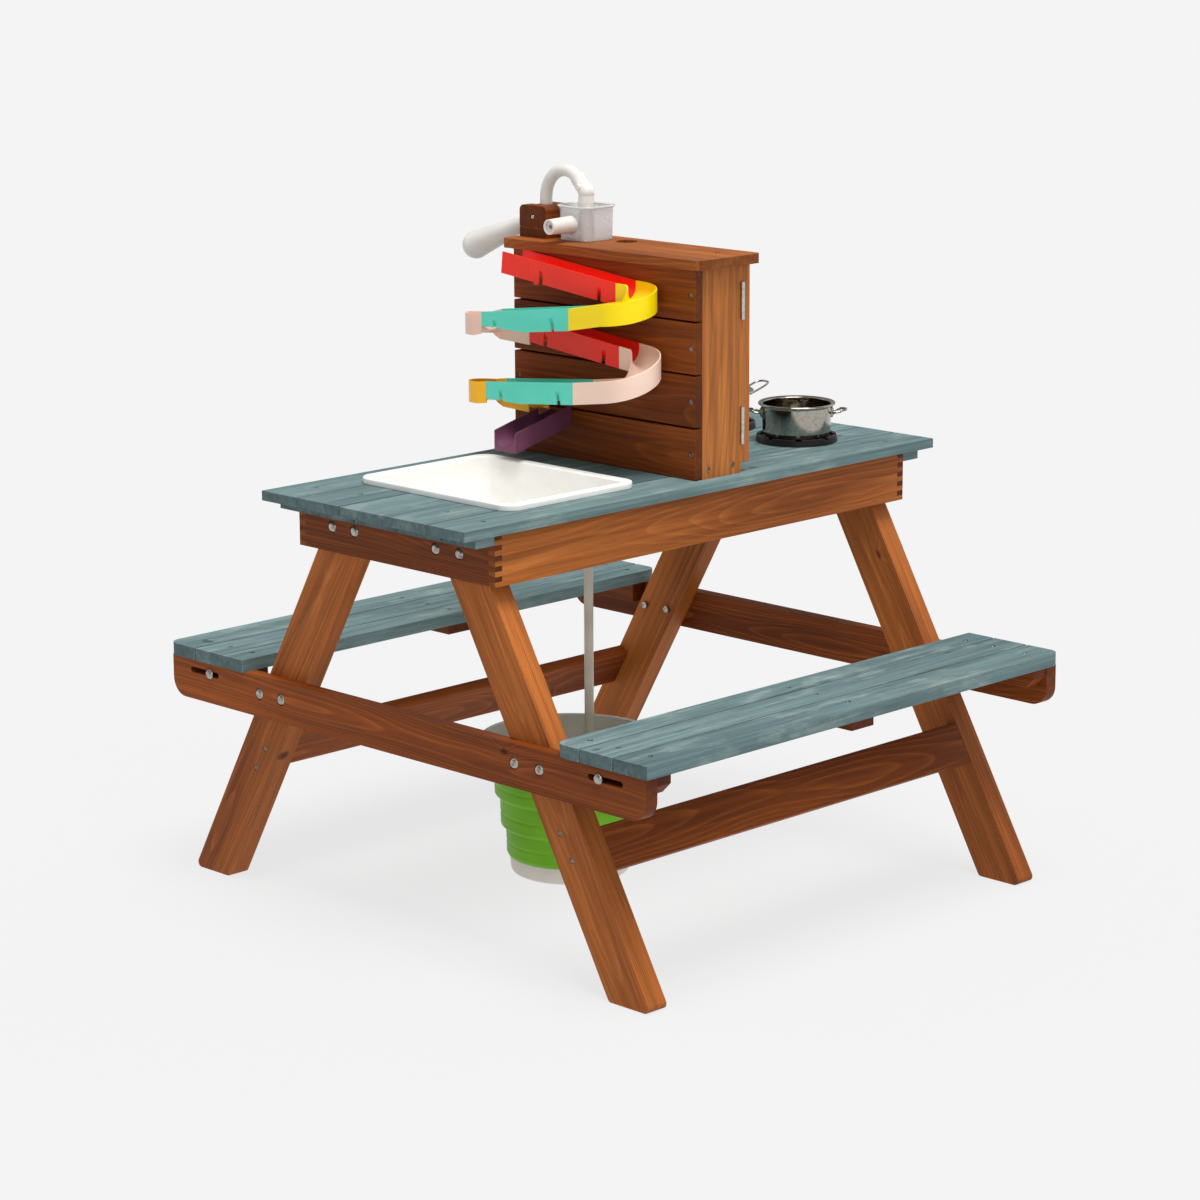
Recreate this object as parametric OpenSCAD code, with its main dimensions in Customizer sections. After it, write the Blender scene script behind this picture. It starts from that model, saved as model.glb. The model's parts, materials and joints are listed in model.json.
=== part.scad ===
// Child's sand and water table: a picnic-style bench table with a water tower.
// X runs along the table planks, Y runs across the two benches and Z is up.
// The origin is on the floor at the middle of the whole object.
// The tower's track side faces -X, and the front bench is on the -Y side.

/* [Table top] */
// Length of the top planks along X
top_l = 896; // [820:2:1100]
// Width of the top across all five planks
top_w = 390; // [372:2:440]
// Height of the top surface above the floor
top_h = 580; // [540:2:640]
// Thickness of a top plank
plank_t = 13; // [11:0.5:16]
// Gap between neighbouring top planks
plank_gap = 1; // [0.5:0.1:3]
// Width of each of the two outer top planks
outer_plank_w = 70; // [55:1:80]
// Thickness of the packer under each plank end
packer_t = 13; // [10:0.5:16]
// How far a plank end reaches past its packer
plank_lip = 25; // [15:1:40]

/* [Apron] */
// How far the plank ends overhang the apron
apron_overhang = 57; // [40:1:80]
// How far the long plank edges overhang the apron
apron_edge = 7; // [4:1:15]
// Height of the apron boards
apron_h = 67; // [55:1:90]
// Thickness of the apron boards
apron_t = 12; // [10:0.5:16]
// Number of fingers in each corner joint, both boards together
finger_n = 10; // [6:2:14]

/* [Legs and rails] */
// Width of the leg boards
leg_w = 64; // [50:1:80]
// Thickness of the leg boards
leg_t = 32; // [24:1:40]
// Distance from the middle of the table to a leg's outer edge under the top
leg_top_y = 125.2; // [115:0.2:150]
// Distance from the middle of the table to a leg's outer edge at the floor
foot_y = 446; // [430:1:470]
// Radius that rounds the corners of the feet
foot_r = 7; // [3:1:12]
// Width of the two lower rails
rail_w = 58; // [45:1:70]
// Thickness of the two lower rails
rail_t = 19; // [15:1:25]
// Height of the lower edge of the rails
rail_z = 161; // [130:1:190]

/* [Seat beams and benches] */
// Height of the seat surface
seat_h = 325; // [300:1:360]
// Thickness of a seat plank
seat_t = 17; // [14:1:22]
// Height of the two cross beams
beam_h = 57; // [45:1:70]
// Thickness of the two cross beams
beam_t = 20; // [16:1:26]
// Half the length of a cross beam
beam_reach = 457; // [440:1:480]
// Radius of the lower corners of the cross beams
beam_r = 25; // [10:1:30]
// Length of the bench planks
bench_l = 806; // [790:2:900]
// Distance from the middle of the table to a bench's inner edge
bench_y = 301; // [298:1:320]
// Width of the inner seat plank
seat_inner_w = 44.5; // [35:0.5:60]
// Width of the middle seat plank
seat_mid_w = 57; // [45:0.5:70]
// Width of the outer seat plank
seat_outer_w = 59.5; // [45:0.5:70]
// Corner radius at the two rounded corners of a bench
bench_r = 20; // [10:1:30]
// Depth of a bench's end cleats
cleat_h = 28; // [22:1:34]
// Thickness of a bench's end cleats
cleat_t = 24; // [18:1:28]
// Depth of a bench's middle cleat
mid_cleat_h = 14; // [10:1:20]
// Width of a bench's middle cleat
mid_cleat_w = 43; // [30:1:60]
// Height of the slots that the bench bolts slide in
slot_h = 8; // [7:0.5:10]
// Distance from the middle of the table to the inner end of a slot
slot_in = 358; // [350:1:365]
// Distance from the middle of the table to the outer end of a slot
slot_out = 418; // [405:1:425]
// Distance from the middle of the table to a bench bolt
bench_bolt_y = 376.6; // [374:0.2:382]

/* [Tower] */
// Width of the tower boards along Y
tower_w = 344; // [330:1:360]
// Height of the tower's box above the table top
tower_h = 280; // [260:1:320]
// Thickness of the tower's front boards and its top board
tower_t = 13; // [11:0.5:16]
// Depth of the two side boards along X
side_d = 75; // [70:1:90]
// Thickness of the two side boards
side_t = 12; // [10:0.5:15]
// Gap between neighbouring front boards
tower_gap = 1.5; // [0.5:0.1:3]
// How far the top board overhangs the side boards
cap_edge = 14; // [8:1:20]
// How far the top board reaches past the front boards
cap_front = 9; // [5:1:14]
// How far the top board reaches past the doors
cap_back = 6; // [4:1:14]
// Corner radius of the top board
cap_r = 8; // [4:1:12]
// Diameter of the round hole through the top board
cap_hole_d = 30; // [24:1:32]
// Thickness of a door's frame
door_frame_t = 8.9; // [8:0.1:12]
// Thickness of a door's outer panel
door_panel_t = 7.5; // [6:0.5:10]
// Width of a door's stiles and rails
door_rail_w = 40; // [30:1:45]
// Gap below the doors
door_gap_low = 13.6; // [12:0.2:20]
// Diameter of the finger hole in each door
finger_hole_d = 24; // [20:1:28]

/* [Water tracks] */
// Outside width of a track
track_w = 40; // [34:1:42]
// Thickness of a track's walls and floor
track_t = 2; // [1.5:0.1:3]
// Height of a track's side walls
track_h = 29.5; // [26:0.5:32]
// Gap between the two lanes of track
lane_gap = 8; // [6:0.5:12]
// Depth of the half-round groove below a track's top edge
groove_depth = 25; // [20:0.5:26]
// Width of the notches under a track
notch_w = 7.5; // [5:0.5:9]
// Height of the notches under a track
notch_h = 18; // [10:1:20]
// Gap between a track and the wall that carries it
wall_gap = 0.3; // [0.2:0.1:1]

/* [Basin] */
// Length of the basin's rim along X
basin_l = 235; // [200:1:240]
// Width of the basin's rim along Y
basin_w = 294; // [240:1:300]
// Depth of the basin below the table top
basin_d = 90; // [60:1:110]
// Corner radius of the basin's rim
basin_r = 23; // [18:1:30]
// Width of the rim's flange
flange_w = 14; // [11:1:18]
// Thickness of the flange and the walls
basin_t = 3; // [2:0.2:4]
// Gap between the basin and the hole it drops into
basin_gap = 2; // [1:0.2:4]
// Diameter of the drain hole
drain_d = 24; // [18:1:30]

/* [Pump] */
// Width of the pump block along X
block_l = 52; // [48:1:60]
// Width of the pump block along Y
block_w = 52; // [48:1:60]
// Height of the pump block
block_h = 44; // [44:1:56]
// Diameter of the pivot bolt
pivot_d = 6; // [5:0.5:8]
// Distance from the pivot to the drive pin
arm_l = 14; // [12:0.5:15]
// Diameter of the drive pin
drive_pin_d = 4; // [3:0.5:5]
// Travel of the lever, in degrees
lever_travel = 45; // [30:1:50]
// Outside diameter of the gooseneck tube
neck_d = 17; // [15:0.5:18]
// Outside diameter of the suction pipe
dip_d = 13; // [10:0.5:14]
// Outside width of the square water cup
cup_w = 60; // [60:1:66]
// Corner radius of the water cup
cup_r = 14; // [13:1:20]
// Height of the water cup
cup_h = 48; // [40:1:60]
// Wall of the water cup
cup_t = 2; // [1.5:0.1:3]

/* [Kitchen] */
// Diameter of a hob ring
hob_d = 114; // [108:1:118]
// Height of a hob ring
hob_h = 9.5; // [8:0.5:12]
// Diameter of a pan's body
pan_d = 97; // [90:1:100]
// Height of a pan
pan_h = 49; // [40:1:60]
// Thickness of a pan's wall
pan_t = 1.2; // [1:0.1:2]
// Distance along X from the middle of the table to the pans
pan_x = 304; // [300:1:320]

/* [Bucket] */
// Radius of the bucket's base
bucket_r = 84; // [80:1:86]
// Height of the bucket with its wall raised
bucket_h = 192; // [185:1:198]
// Radius of the bucket's rim band
bucket_rim_r = 125; // [118:1:128]
// Wall thickness of the bucket
bucket_t = 2.4; // [2:0.1:3]

/* [Hidden] */
$fn = 64;
hull_fn = 32;
over = 1;
touch = 0.3;
eps = 0.01;

// Places of the tower and what stands on it
tower_x = 0;
bucket_x = -23;
bucket_y = 59;
pivot_y = tower_w / 2 - 18;
pump_x = 34;
pipe_x = 28;
pipe_y = 71;
cup_x = pipe_x + 16.6;
cup_y = pipe_y + 16.6;
front_pan_y = -66;
back_pan_y = 89;
basin_x = -210;

// Table top
half_l = top_l / 2;
half_w = top_w / 2;
plank_z = top_h - plank_t;
inner_plank_w = (top_w - 2 * outer_plank_w - 4 * plank_gap) / 3;
function plank_low(i) = i == 0 ? -half_w
    : -half_w + outer_plank_w + plank_gap + (i - 1) * (inner_plank_w + plank_gap);
function plank_wide(i) = (i == 0 || i == 4) ? outer_plank_w : inner_plank_w;

// Apron
apron_x = half_l - apron_overhang;
apron_y = half_w - apron_edge;
apron_z = plank_z - apron_h;
finger_h = apron_h / finger_n;
packer_l = apron_overhang - plank_lip;

// Legs: a leg's outer edge is foot_y at the floor and comes in as it rises
leg_x = apron_x - apron_t;
lean_k = (foot_y - leg_top_y) / plank_z;
leg_lean = atan(lean_k);
leg_cut = leg_w / cos(leg_lean);
function leg_outer(z) = foot_y - z * lean_k;
function leg_inner(z) = leg_outer(z) - leg_cut;
function leg_mid(z) = leg_outer(z) - leg_cut / 2;

// Beams and benches
bench_z = seat_h - seat_t;
beam_z = bench_z - beam_h;
beam_mid_z = beam_z + 32;
beam_bolt_pitch = 45;
apron_bolt_in = 7.4;
apron_bolt_pitch = 44;
slot_z = bench_z - 15.5;
cleat_x = leg_x - 1;
bench_half = bench_l / 2;
seat_gap = 1;
seat_w = [seat_inner_w, seat_mid_w, seat_outer_w];
function seat_low(i) = bench_y + (i > 0 ? seat_w[0] + seat_gap : 0) + (i > 1 ? seat_w[1] + seat_gap : 0);
bench_out = seat_low(2) + seat_w[2];
cleat_in = bench_y + 5;
cleat_out = bench_out - 8;
seat_screw_in = 39;
seat_screw_xs = [-bench_half + seat_screw_in, 0, bench_half - seat_screw_in];

// Fasteners
bolt_d = 6;
bolt_hole_d = 6.4;
bolt_head_d = 14.5;
bolt_head_h = 4;
nut_d = 11.5;
nut_h = 5;
sink_d = 16;
sink_h = 1.5;
screw_head_d = 7;
screw_head_h = 1.4;
screw_hole_d = 8;
screw_hole_h = 1.9;
screw_d = 3.2;
screw_l = 11;

// Tower
tower_z = top_h;
cap_z = tower_z + tower_h;
cap_top = cap_z + tower_t;
front_x = tower_x - tower_t;
board_h = (tower_h - 3 * tower_gap) / 4;
hinge_slack = 0.6;
door_x = tower_x + side_d + hinge_slack;
door_back = door_x + door_frame_t + door_panel_t;
door_z = tower_z + door_gap_low;
door_top_gap = 2;
door_h = tower_h - door_gap_low - door_top_gap;
door_mid_gap = 2;
door_w = (tower_w - door_mid_gap) / 2 - 1;
door_edge = tower_w / 2 - 1;
hinge_d = 5.5;
hinge_pin_d = 2.4;
hinge_l = 50;
hinge_fit = 0.05;
hinge_leaf_t = 1;
hinge_leaf_w = 10;
hinge_relief = 0.4;
knuckle_l = hinge_l / 3;
knuckle_gap = 0.2;
hinge_y = tower_w / 2 + 2;
hinge_x = tower_x + side_d + hinge_slack / 2;
hinge_zs = [tower_z + 39, tower_z + 206];

// Tracks
wall_lane = front_x - wall_gap - track_w / 2;
outer_lane = wall_lane - track_w - lane_gap;
curve_x = (wall_lane + outer_lane) / 2;
curve_r = (wall_lane - outer_lane) / 2;
groove_r = track_w / 2 - track_t;
track_gap = 0.2;
end_spare = 8;
section_steps = 8;
bend_steps = 14;
bend_ease = 0.06;

// Basin
rim_top = top_h + 9;
skirt_h = rim_top - basin_t - top_h;
tub_l = basin_l - 2 * flange_w;
tub_w = basin_w - 2 * flange_w;
tub_r = basin_r - flange_w + 4;
tub_taper = 7;
hole_l = tub_l + 2 * basin_gap;
hole_w = tub_w + 2 * basin_gap;
drain_in = 46;
plug_flange_d = drain_d + 8;
plug_flange_t = 2;
plug_knob_d = 8;
plug_knob_h = 7;
drain_x = basin_x + basin_l / 2 - drain_in;
drain_y = bucket_y;

// Spout
spout_y = 81;
spout_w = 42;
spout_t = 2;
spout_h = 27;
spout_depth = 22;
spout_l = 112;
spout_top = 75;
spout_slope = 14;
spout_reach = 105;
spout_open = 25;

// Pump: the lever turns on a bolt in the block and drives the piston's rod
block_x = pump_x - block_l / 2;
block_y = pivot_y + 1 - block_w / 2;
block_r = 8;
pivot_z = cap_top + 28.5;
groove_z = 14;
groove_cut = 2;
slot_w = 19;
slot_front = 7;
slot_floor = 8;
slot_roof = block_h - 4;
slot_top_y = pivot_y + 10.5;
lever_drop = 21.4;
lever_rise = 3.6;
lever_l = 153.6;
lever_start = 25;
lever_r = 8.5;
lever_end_r = 19.5;
lever_hub_d = 16;
lever_hub_w = 17;
lever_neck_h = 10;
lever_neck_w = 12;
lever_fit = 0.05;
neck_angle = atan2(lever_start * sin(lever_drop) - lever_rise, lever_start * cos(lever_drop));
arm_rise = lever_travel / 2;
arm_t = 6;
arm_w = 9;
drive_pin_l = 15;
pin_z = pivot_z + arm_l * sin(arm_rise);
pin_sway = arm_l * (1 - cos(arm_rise)) / 2 + 0.1;
pin_fit = 0.1;
rod_y = pivot_y - arm_l * (1 + cos(arm_rise)) / 2;
rod_d = 6;
rod_fit = 0.1;
fork_l = 16;
fork_w = 10;
fork_z = pin_z - 14;
fork_floor = 5;
cylinder_d = 38;
cylinder_h = 82;
cylinder_head = 6;
cylinder_floor = 5;
port_d = 9;
piston_d = 32;
piston_h = 10;
piston_fit = 0.1;
piston_z = cap_z - cylinder_head - 2 - piston_h;

// Gooseneck and riser
neck_y = pivot_y + 1;
neck_z = cap_top + block_h;
neck_t = 1.8;
neck_bend_r = 41;
neck_bend = 135;
neck_seat = 3;
neck_lean = atan2(pump_x - pipe_x, neck_y - pipe_y);
neck_reach = norm([pump_x - pipe_x, neck_y - pipe_y]);
cup_rim = 3;
riser_z = cap_top + cup_t;
riser_d = 20.5;
riser_socket = 20;
collar_z = cap_top + 52;
collar_h = 10;
fitting_d = 18;
elbow_z = collar_z + collar_h + 5;
sleeve_d = 20.5;
elbow_d = 22.5;
sleeve_l = 26;
sleeve_out = neck_reach - neck_bend_r * (1 - cos(neck_bend));
sleeve_socket = sleeve_out / sin(neck_bend);
neck_rise = elbow_z - neck_z - sleeve_out / tan(neck_bend) - neck_bend_r * sin(neck_bend);
cross_pin_y = 5;
cross_pin_z = elbow_z + 7;
cross_pin_d = 8;
cross_pin_l = 26;
spigot_y = -1.6;
spigot_z = 23;
spigot_d = 24;
spigot_tip_d = 20.5;
spigot_neck_d = 20;
spigot_bore = 7;
spigot_lip = 3;
spigot_l = 43;
strainer_z = 30;
strainer_d = 20;
strainer_h = 26;

// Kitchen
hob_z = top_h;
hob_step = 3.2;
hob_foot_h = 4.5;
hob_band = 7;
hob_slot_w = 8;
pan_z = hob_z + hob_h - hob_step;
pan_foot_r = 10;
wire_d = 3.2;

// Bucket: each piece of the wall slides down round the one below it
base_h = 28;
base_floor = 3;
base_foot_r = 9;
ring_slip = 0.4;
ring_step = 4;
rim_lip = 5;
ring_z = [base_h, base_h + 40, base_h + 84, base_h + 122, bucket_h];
ring_r = [bucket_r + 5, bucket_r + 13, bucket_r + 21, bucket_rim_r - rim_lip];

// ---- Shared shapes ----

// A box given by its low corner and its size
module block(low, size) {
    translate(low)
        cube(size);
}

// A flat plate with round corners, listed as [x, y, radius] in turn
module plate(corners, z, t) {
    translate([0, 0, z])
        linear_extrude(t)
            hull()
                for (c = corners)
                    translate([c[0], c[1]])
                        circle(max(c[2], eps), $fn = hull_fn);
}

// The four corners of a centred rectangle, all with radius r
function corners4(l, w, r) = [
    for (s = [[-1, -1], [1, -1], [1, 1], [-1, 1]]) [s[0] * (l / 2 - r), s[1] * (w / 2 - r), r]
];

// A cylinder along X or Y, from its start point
module rod_x(p, d, l) {
    translate(p)
        rotate([0, 90, 0])
            cylinder(d = d, h = l);
}

module rod_y_dir(p, d, l) {
    translate(p)
        rotate([-90, 0, 0])
            cylinder(d = d, h = l);
}

// A domed head of diameter d and height h, its flat side at the origin
module dome(d, h) {
    ball_r = (h * h + d * d / 4) / (2 * h);
    intersection() {
        translate([0, 0, h - ball_r])
            sphere(ball_r);
        cylinder(d = d, h = h);
    }
}

// A carriage bolt: a domed head at the origin, its shank running down -Z
module carriage_bolt(l) {
    dome(bolt_head_d, bolt_head_h);
    translate([0, 0, -l])
        cylinder(d = bolt_d, h = l + eps);
    translate([0, 0, -l])
        nut();
}

module nut() {
    cylinder(d = nut_d, h = nut_h, $fn = 6);
}

// A countersunk screw, its head's top at the origin, running down -Z
module screw() {
    translate([0, 0, -screw_hole_h])
        cylinder(d = screw_head_d, h = screw_head_h);
    translate([0, 0, -screw_l])
        cylinder(d = screw_d, h = screw_l - screw_hole_h + eps);
}

// The recess that a screw's head sits in
module screw_recess() {
    translate([0, 0, -screw_hole_h])
        cylinder(d = screw_hole_d, h = screw_hole_h + over);
}

// Turns the +Z of its child to point along an axis
module face(axis) {
    turn = axis[0] != 0 ? [0, 90 * axis[0], 0] : [-90 * axis[1], 0, 0];
    rotate(turn)
        children();
}

// ---- Places of the screws and bolts ----

top_screws = [
    for (sx = [-1, 1])
        for (sy = [-1, 1])
            for (dx = [apron_overhang + 16])
                [sx * (half_l - dx), sy * (plank_gap + inner_plank_w)]
];
outer_screws = [
    for (sx = [-1, 1])
        for (sy = [-1, 1])
            [sx * (half_l - apron_overhang - 6), sy * (half_w - outer_plank_w / 2)]
];
tower_screws = [
    for (i = [0 : 3])
        for (sy = [-1, 1])
            [sy * (tower_w / 2 - 9), tower_z + (i + 0.5) * board_h + i * tower_gap]
];
side_screws = [[tower_x + 12, tower_z + 12], [tower_x + side_d - 16, tower_z + 13]];
cap_screws = [
    for (sy = [-1, 1])
        [tower_x + 61.5, sy * (tower_w / 2 - 31.5)]
];
leg_screws = [[leg_mid(200) - 9, 200], [leg_mid(169) - 6, 169]];
apron_bolt_z = apron_z + apron_h / 2;
apron_bolt_ys = [
    for (s = [-1, 1])
        for (d = [-1, 1])
            s * (leg_mid(apron_bolt_z) - apron_bolt_in + d * apron_bolt_pitch / 2)
];
beam_bolt_ys = [
    for (s = [-1, 1])
        for (d = [-1, 1])
            s * (leg_mid(beam_mid_z) + d * beam_bolt_pitch / 2)
];

// ---- Frame ----

// One leg, at the +X, +Y corner; its top is cut level under the planks
module leg_shape() {
    difference() {
        translate([leg_x - leg_t, 0, 0])
            rotate([90, 0, 90])
                linear_extrude(leg_t)
                    leg_outline();
        for (y = beam_bolt_ys)
            rod_x([leg_x - leg_t - over, y, beam_mid_z], bolt_hole_d, leg_t + 2 * over);
        for (y = apron_bolt_ys)
            rod_x([leg_x - leg_t - over, y, apron_bolt_z], bolt_hole_d, leg_t + 2 * over);
        for (p = leg_screws)
            translate([leg_x, p[0], p[1]])
                face([1, 0, 0])
                    screw_recess();
    }
}

module leg_outline() {
    hull() {
        polygon([
            [leg_inner(plank_z), plank_z], [leg_outer(plank_z), plank_z],
            [leg_outer(2 * foot_r), 2 * foot_r], [leg_inner(2 * foot_r), 2 * foot_r]
        ]);
        for (y = [leg_inner(0) + foot_r * 0.6, leg_outer(0) - foot_r * 1.7])
            translate([y, foot_r])
                circle(foot_r, $fn = hull_fn);
    }
}

module leg(sx, sy) {
    color("saddlebrown")
        mirror([sx < 0 ? 1 : 0, 0, 0])
            mirror([0, sy < 0 ? 1 : 0, 0])
                leg_shape();
}

// The lower rails lie in the plane of the legs' outer edges
module rail(sy) {
    color("saddlebrown")
        mirror([0, sy < 0 ? 1 : 0, 0])
            translate([-leg_x + leg_t, leg_outer(rail_z), rail_z])
                rotate([leg_lean, 0, 0])
                    translate([0, -rail_t, 0])
                        cube([2 * (leg_x - leg_t), rail_t, rail_w]);
}

module beam(sx) {
    color("saddlebrown")
        mirror([sx < 0 ? 1 : 0, 0, 0])
            difference() {
                translate([leg_x, 0, 0])
                    rotate([90, 0, 90])
                        linear_extrude(beam_t)
                            beam_outline();
                for (y = beam_bolt_ys)
                    translate([leg_x + beam_t, y, beam_mid_z])
                        face([1, 0, 0])
                            bolt_recess(beam_t);
                for (s = [-1, 1])
                    beam_slot(s);
            }
}

module beam_outline() {
    translate([-beam_reach, beam_z + beam_r])
        square([2 * beam_reach, beam_h - beam_r]);
    translate([-beam_reach + beam_r, beam_z])
        square([2 * (beam_reach - beam_r), beam_h]);
    for (s = [-1, 1])
        translate([s * (beam_reach - beam_r), beam_z + beam_r])
            circle(beam_r);
}

// A slot with round ends, cut right through a beam
module beam_slot(s) {
    r = slot_h / 2;
    for (y = [slot_in + r, slot_out - r])
        rod_x([leg_x - over, s * y, slot_z], slot_h, beam_t + 2 * over);
    translate([leg_x - over, s * (slot_in + slot_out) / 2 - (slot_out - slot_in) / 2 + r, slot_z - r])
        cube([beam_t + 2 * over, slot_out - slot_in - slot_h, slot_h]);
}

// A clearance hole and the shallow recess for a bolt's domed head
module bolt_recess(t) {
    translate([0, 0, -t - over])
        cylinder(d = bolt_hole_d, h = t + 2 * over);
    translate([0, 0, -sink_h])
        cylinder(d = sink_d, h = sink_h + over);
}

// ---- Apron, with finger joints at its four corners ----

module corner_fingers(first) {
    for (i = [first : 2 : finger_n - 1])
        for (sx = [-1, 1])
            for (sy = [-1, 1])
                translate([
                    sx * (apron_x - apron_t / 2), sy * (apron_y - apron_t / 2),
                    apron_z + (i + 0.5) * finger_h
                ])
                    cube([apron_t, apron_t, finger_h], center = true);
}

module apron_long_boards() {
    color("saddlebrown")
        union() {
            for (sy = [-1, 1])
                translate([-apron_x + apron_t, sy * (apron_y - apron_t / 2) - apron_t / 2, apron_z])
                    cube([2 * (apron_x - apron_t), apron_t, apron_h]);
            corner_fingers(0);
        }
}

module apron_end_boards() {
    color("sienna")
        difference() {
            union() {
                for (sx = [-1, 1])
                    translate([sx * (apron_x - apron_t / 2) - apron_t / 2, -apron_y + apron_t, apron_z])
                        cube([apron_t, 2 * (apron_y - apron_t), apron_h]);
                corner_fingers(1);
            }
            for (sx = [-1, 1])
                for (y = apron_bolt_ys)
                    translate([sx * apron_x, y, apron_bolt_z])
                        face([sx, 0, 0])
                            bolt_recess(apron_t);
        }
}

// ---- Table top ----

// Plank i, counted from the front, with its end packers and the basin's hole
module top_plank(i) {
    color("slategray")
        difference() {
            union() {
                block([-half_l, plank_low(i), plank_z], [top_l, plank_wide(i), plank_t]);
                for (sx = [-1, 1])
                    packer(i, sx);
            }
            plate_hole();
            for (p = concat(top_screws, outer_screws))
                translate([p[0], p[1], top_h])
                    screw_recess();
            translate([pipe_x, pipe_y, plank_z - over])
                cylinder(d = dip_d + 2 * touch, h = plank_t + 2 * over);
        }
}

module packer(i, sx) {
    low = max(plank_low(i), -apron_y);
    high = min(plank_low(i) + plank_wide(i), apron_y);
    x = sx > 0 ? apron_x : -apron_x - packer_l;
    block([x, low, plank_z - packer_t], [packer_l, high - low, packer_t + eps]);
}

module plate_hole() {
    translate([basin_x, 0, plank_z - over])
        linear_extrude(plank_t + 2 * over)
            rounded_rect(hole_l, hole_w, tub_r + basin_gap);
}

// A rectangle with true round corners, made with no hull
module rounded_rect(l, w, r) {
    square([l - 2 * r, w], center = true);
    square([l, w - 2 * r], center = true);
    for (c = corners4(l, w, r))
        translate([c[0], c[1]])
            circle(r);
}

// ---- Benches ----

// Seat plank corners: the outer one at one end and the inner one at the other are round
module seat_plank(i) {
    low = seat_low(i);
    high = low + seat_w[i];
    r = 2;
    near_r = i == 2 ? bench_r : r;
    far_r = i == 0 ? bench_r : r;
    difference() {
        plate([
            [-bench_half + r, low + r, r],
            [bench_half - far_r, low + far_r, far_r],
            [bench_half - r, high - r, r],
            [-bench_half + near_r, high - near_r, near_r]
        ], bench_z, seat_t);
        for (x = seat_screw_xs)
            translate([x, low + seat_w[i] / 2 - (i - 1) * 4, seat_h])
                screw_recess();
    }
}

module bench_place(sy) {
    rotate([0, 0, sy < 0 ? 180 : 0])
        children();
}

module bench_planks(sy) {
    color("slategray")
        bench_place(sy)
            for (i = [0 : 2])
                seat_plank(i);
}

module bench_cleats(sy) {
    color("peru")
        bench_place(sy) {
            for (sx = [-1, 1])
                end_cleat(sx);
            block(
                [-mid_cleat_w / 2, cleat_in, bench_z - mid_cleat_h],
                [mid_cleat_w, cleat_out - cleat_in, mid_cleat_h]
            );
        }
}

module end_cleat(sx) {
    cut = cleat_h / 2;
    x = sx > 0 ? cleat_x - cleat_t : -cleat_x;
    difference() {
        translate([x, 0, 0])
            rotate([90, 0, 90])
                linear_extrude(cleat_t)
                    polygon([
                        [cleat_in, bench_z - cleat_h], [cleat_out - cut, bench_z - cleat_h],
                        [cleat_out, bench_z - cleat_h + cut], [cleat_out, bench_z],
                        [cleat_in, bench_z]
                    ]);
        rod_x([x - over, bench_bolt_y, slot_z], bolt_hole_d, cleat_t + 2 * over);
    }
}

module bench_bolts(sy) {
    color("silver")
        bench_place(sy) {
            for (sx = [-1, 1])
                translate([sx * (leg_x + beam_t + touch), bench_bolt_y, slot_z])
                    face([sx, 0, 0])
                        carriage_bolt(leg_x + beam_t + touch - cleat_x + cleat_t + nut_h);
            for (i = [0 : 2])
                for (x = seat_screw_xs)
                    translate([x, seat_low(i) + seat_w[i] / 2 - (i - 1) * 4, seat_h])
                        screw();
        }
}

// ---- Tower ----

module tower_front_boards() {
    color("saddlebrown")
        difference() {
            for (i = [0 : 3])
                block(
                    [front_x, -tower_w / 2, tower_z + i * (board_h + tower_gap)],
                    [tower_t, tower_w, board_h]
                );
            for (p = tower_screws)
                translate([front_x, p[0], p[1]])
                    face([-1, 0, 0])
                        screw_recess();
        }
}

module tower_side_boards() {
    color("peru")
        difference() {
            for (sy = [-1, 1])
                block(
                    [tower_x, sy * (tower_w - side_t) / 2 - side_t / 2, tower_z],
                    [side_d, side_t, tower_h]
                );
            for (sy = [-1, 1])
                for (p = side_screws)
                    translate([p[0], sy * tower_w / 2, p[1]])
                        face([0, sy, 0])
                            screw_recess();
            for (sy = [-1, 1])
                for (z = hinge_zs)
                    block(
                        [tower_x + side_d - hinge_leaf_t, sy * (tower_w - hinge_leaf_w) / 2 - hinge_leaf_w / 2,
                         z],
                        [hinge_leaf_t + over, hinge_leaf_w, hinge_l]
                    );
            for (sy = [-1, 1])
                for (z = hinge_zs)
                    translate([hinge_x, sy * hinge_y, z - hinge_relief])
                        cylinder(d = hinge_d + 2 * hinge_relief, h = hinge_l + 2 * hinge_relief);
        }
}

module tower_top_board() {
    cap_l = door_back + cap_back - front_x + cap_front;
    color("saddlebrown")
        difference() {
            translate([(door_back + cap_back + front_x - cap_front) / 2, 0, cap_z])
                linear_extrude(tower_t)
                    rounded_rect(cap_l, tower_w + 2 * cap_edge, cap_r);
            translate([tower_x + 65, 31, cap_z - over])
                cylinder(d = cap_hole_d, h = tower_t + 2 * over);
            translate([pump_x, rod_y, cap_z - over])
                cylinder(d = rod_d + 4, h = tower_t + 2 * over);
            translate([pipe_x, pipe_y, cap_z - over])
                cylinder(d = dip_d + 2 * touch, h = tower_t + 2 * over);
            for (p = cap_screws)
                translate([p[0], p[1], cap_top])
                    screw_recess();
        }
}

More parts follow.
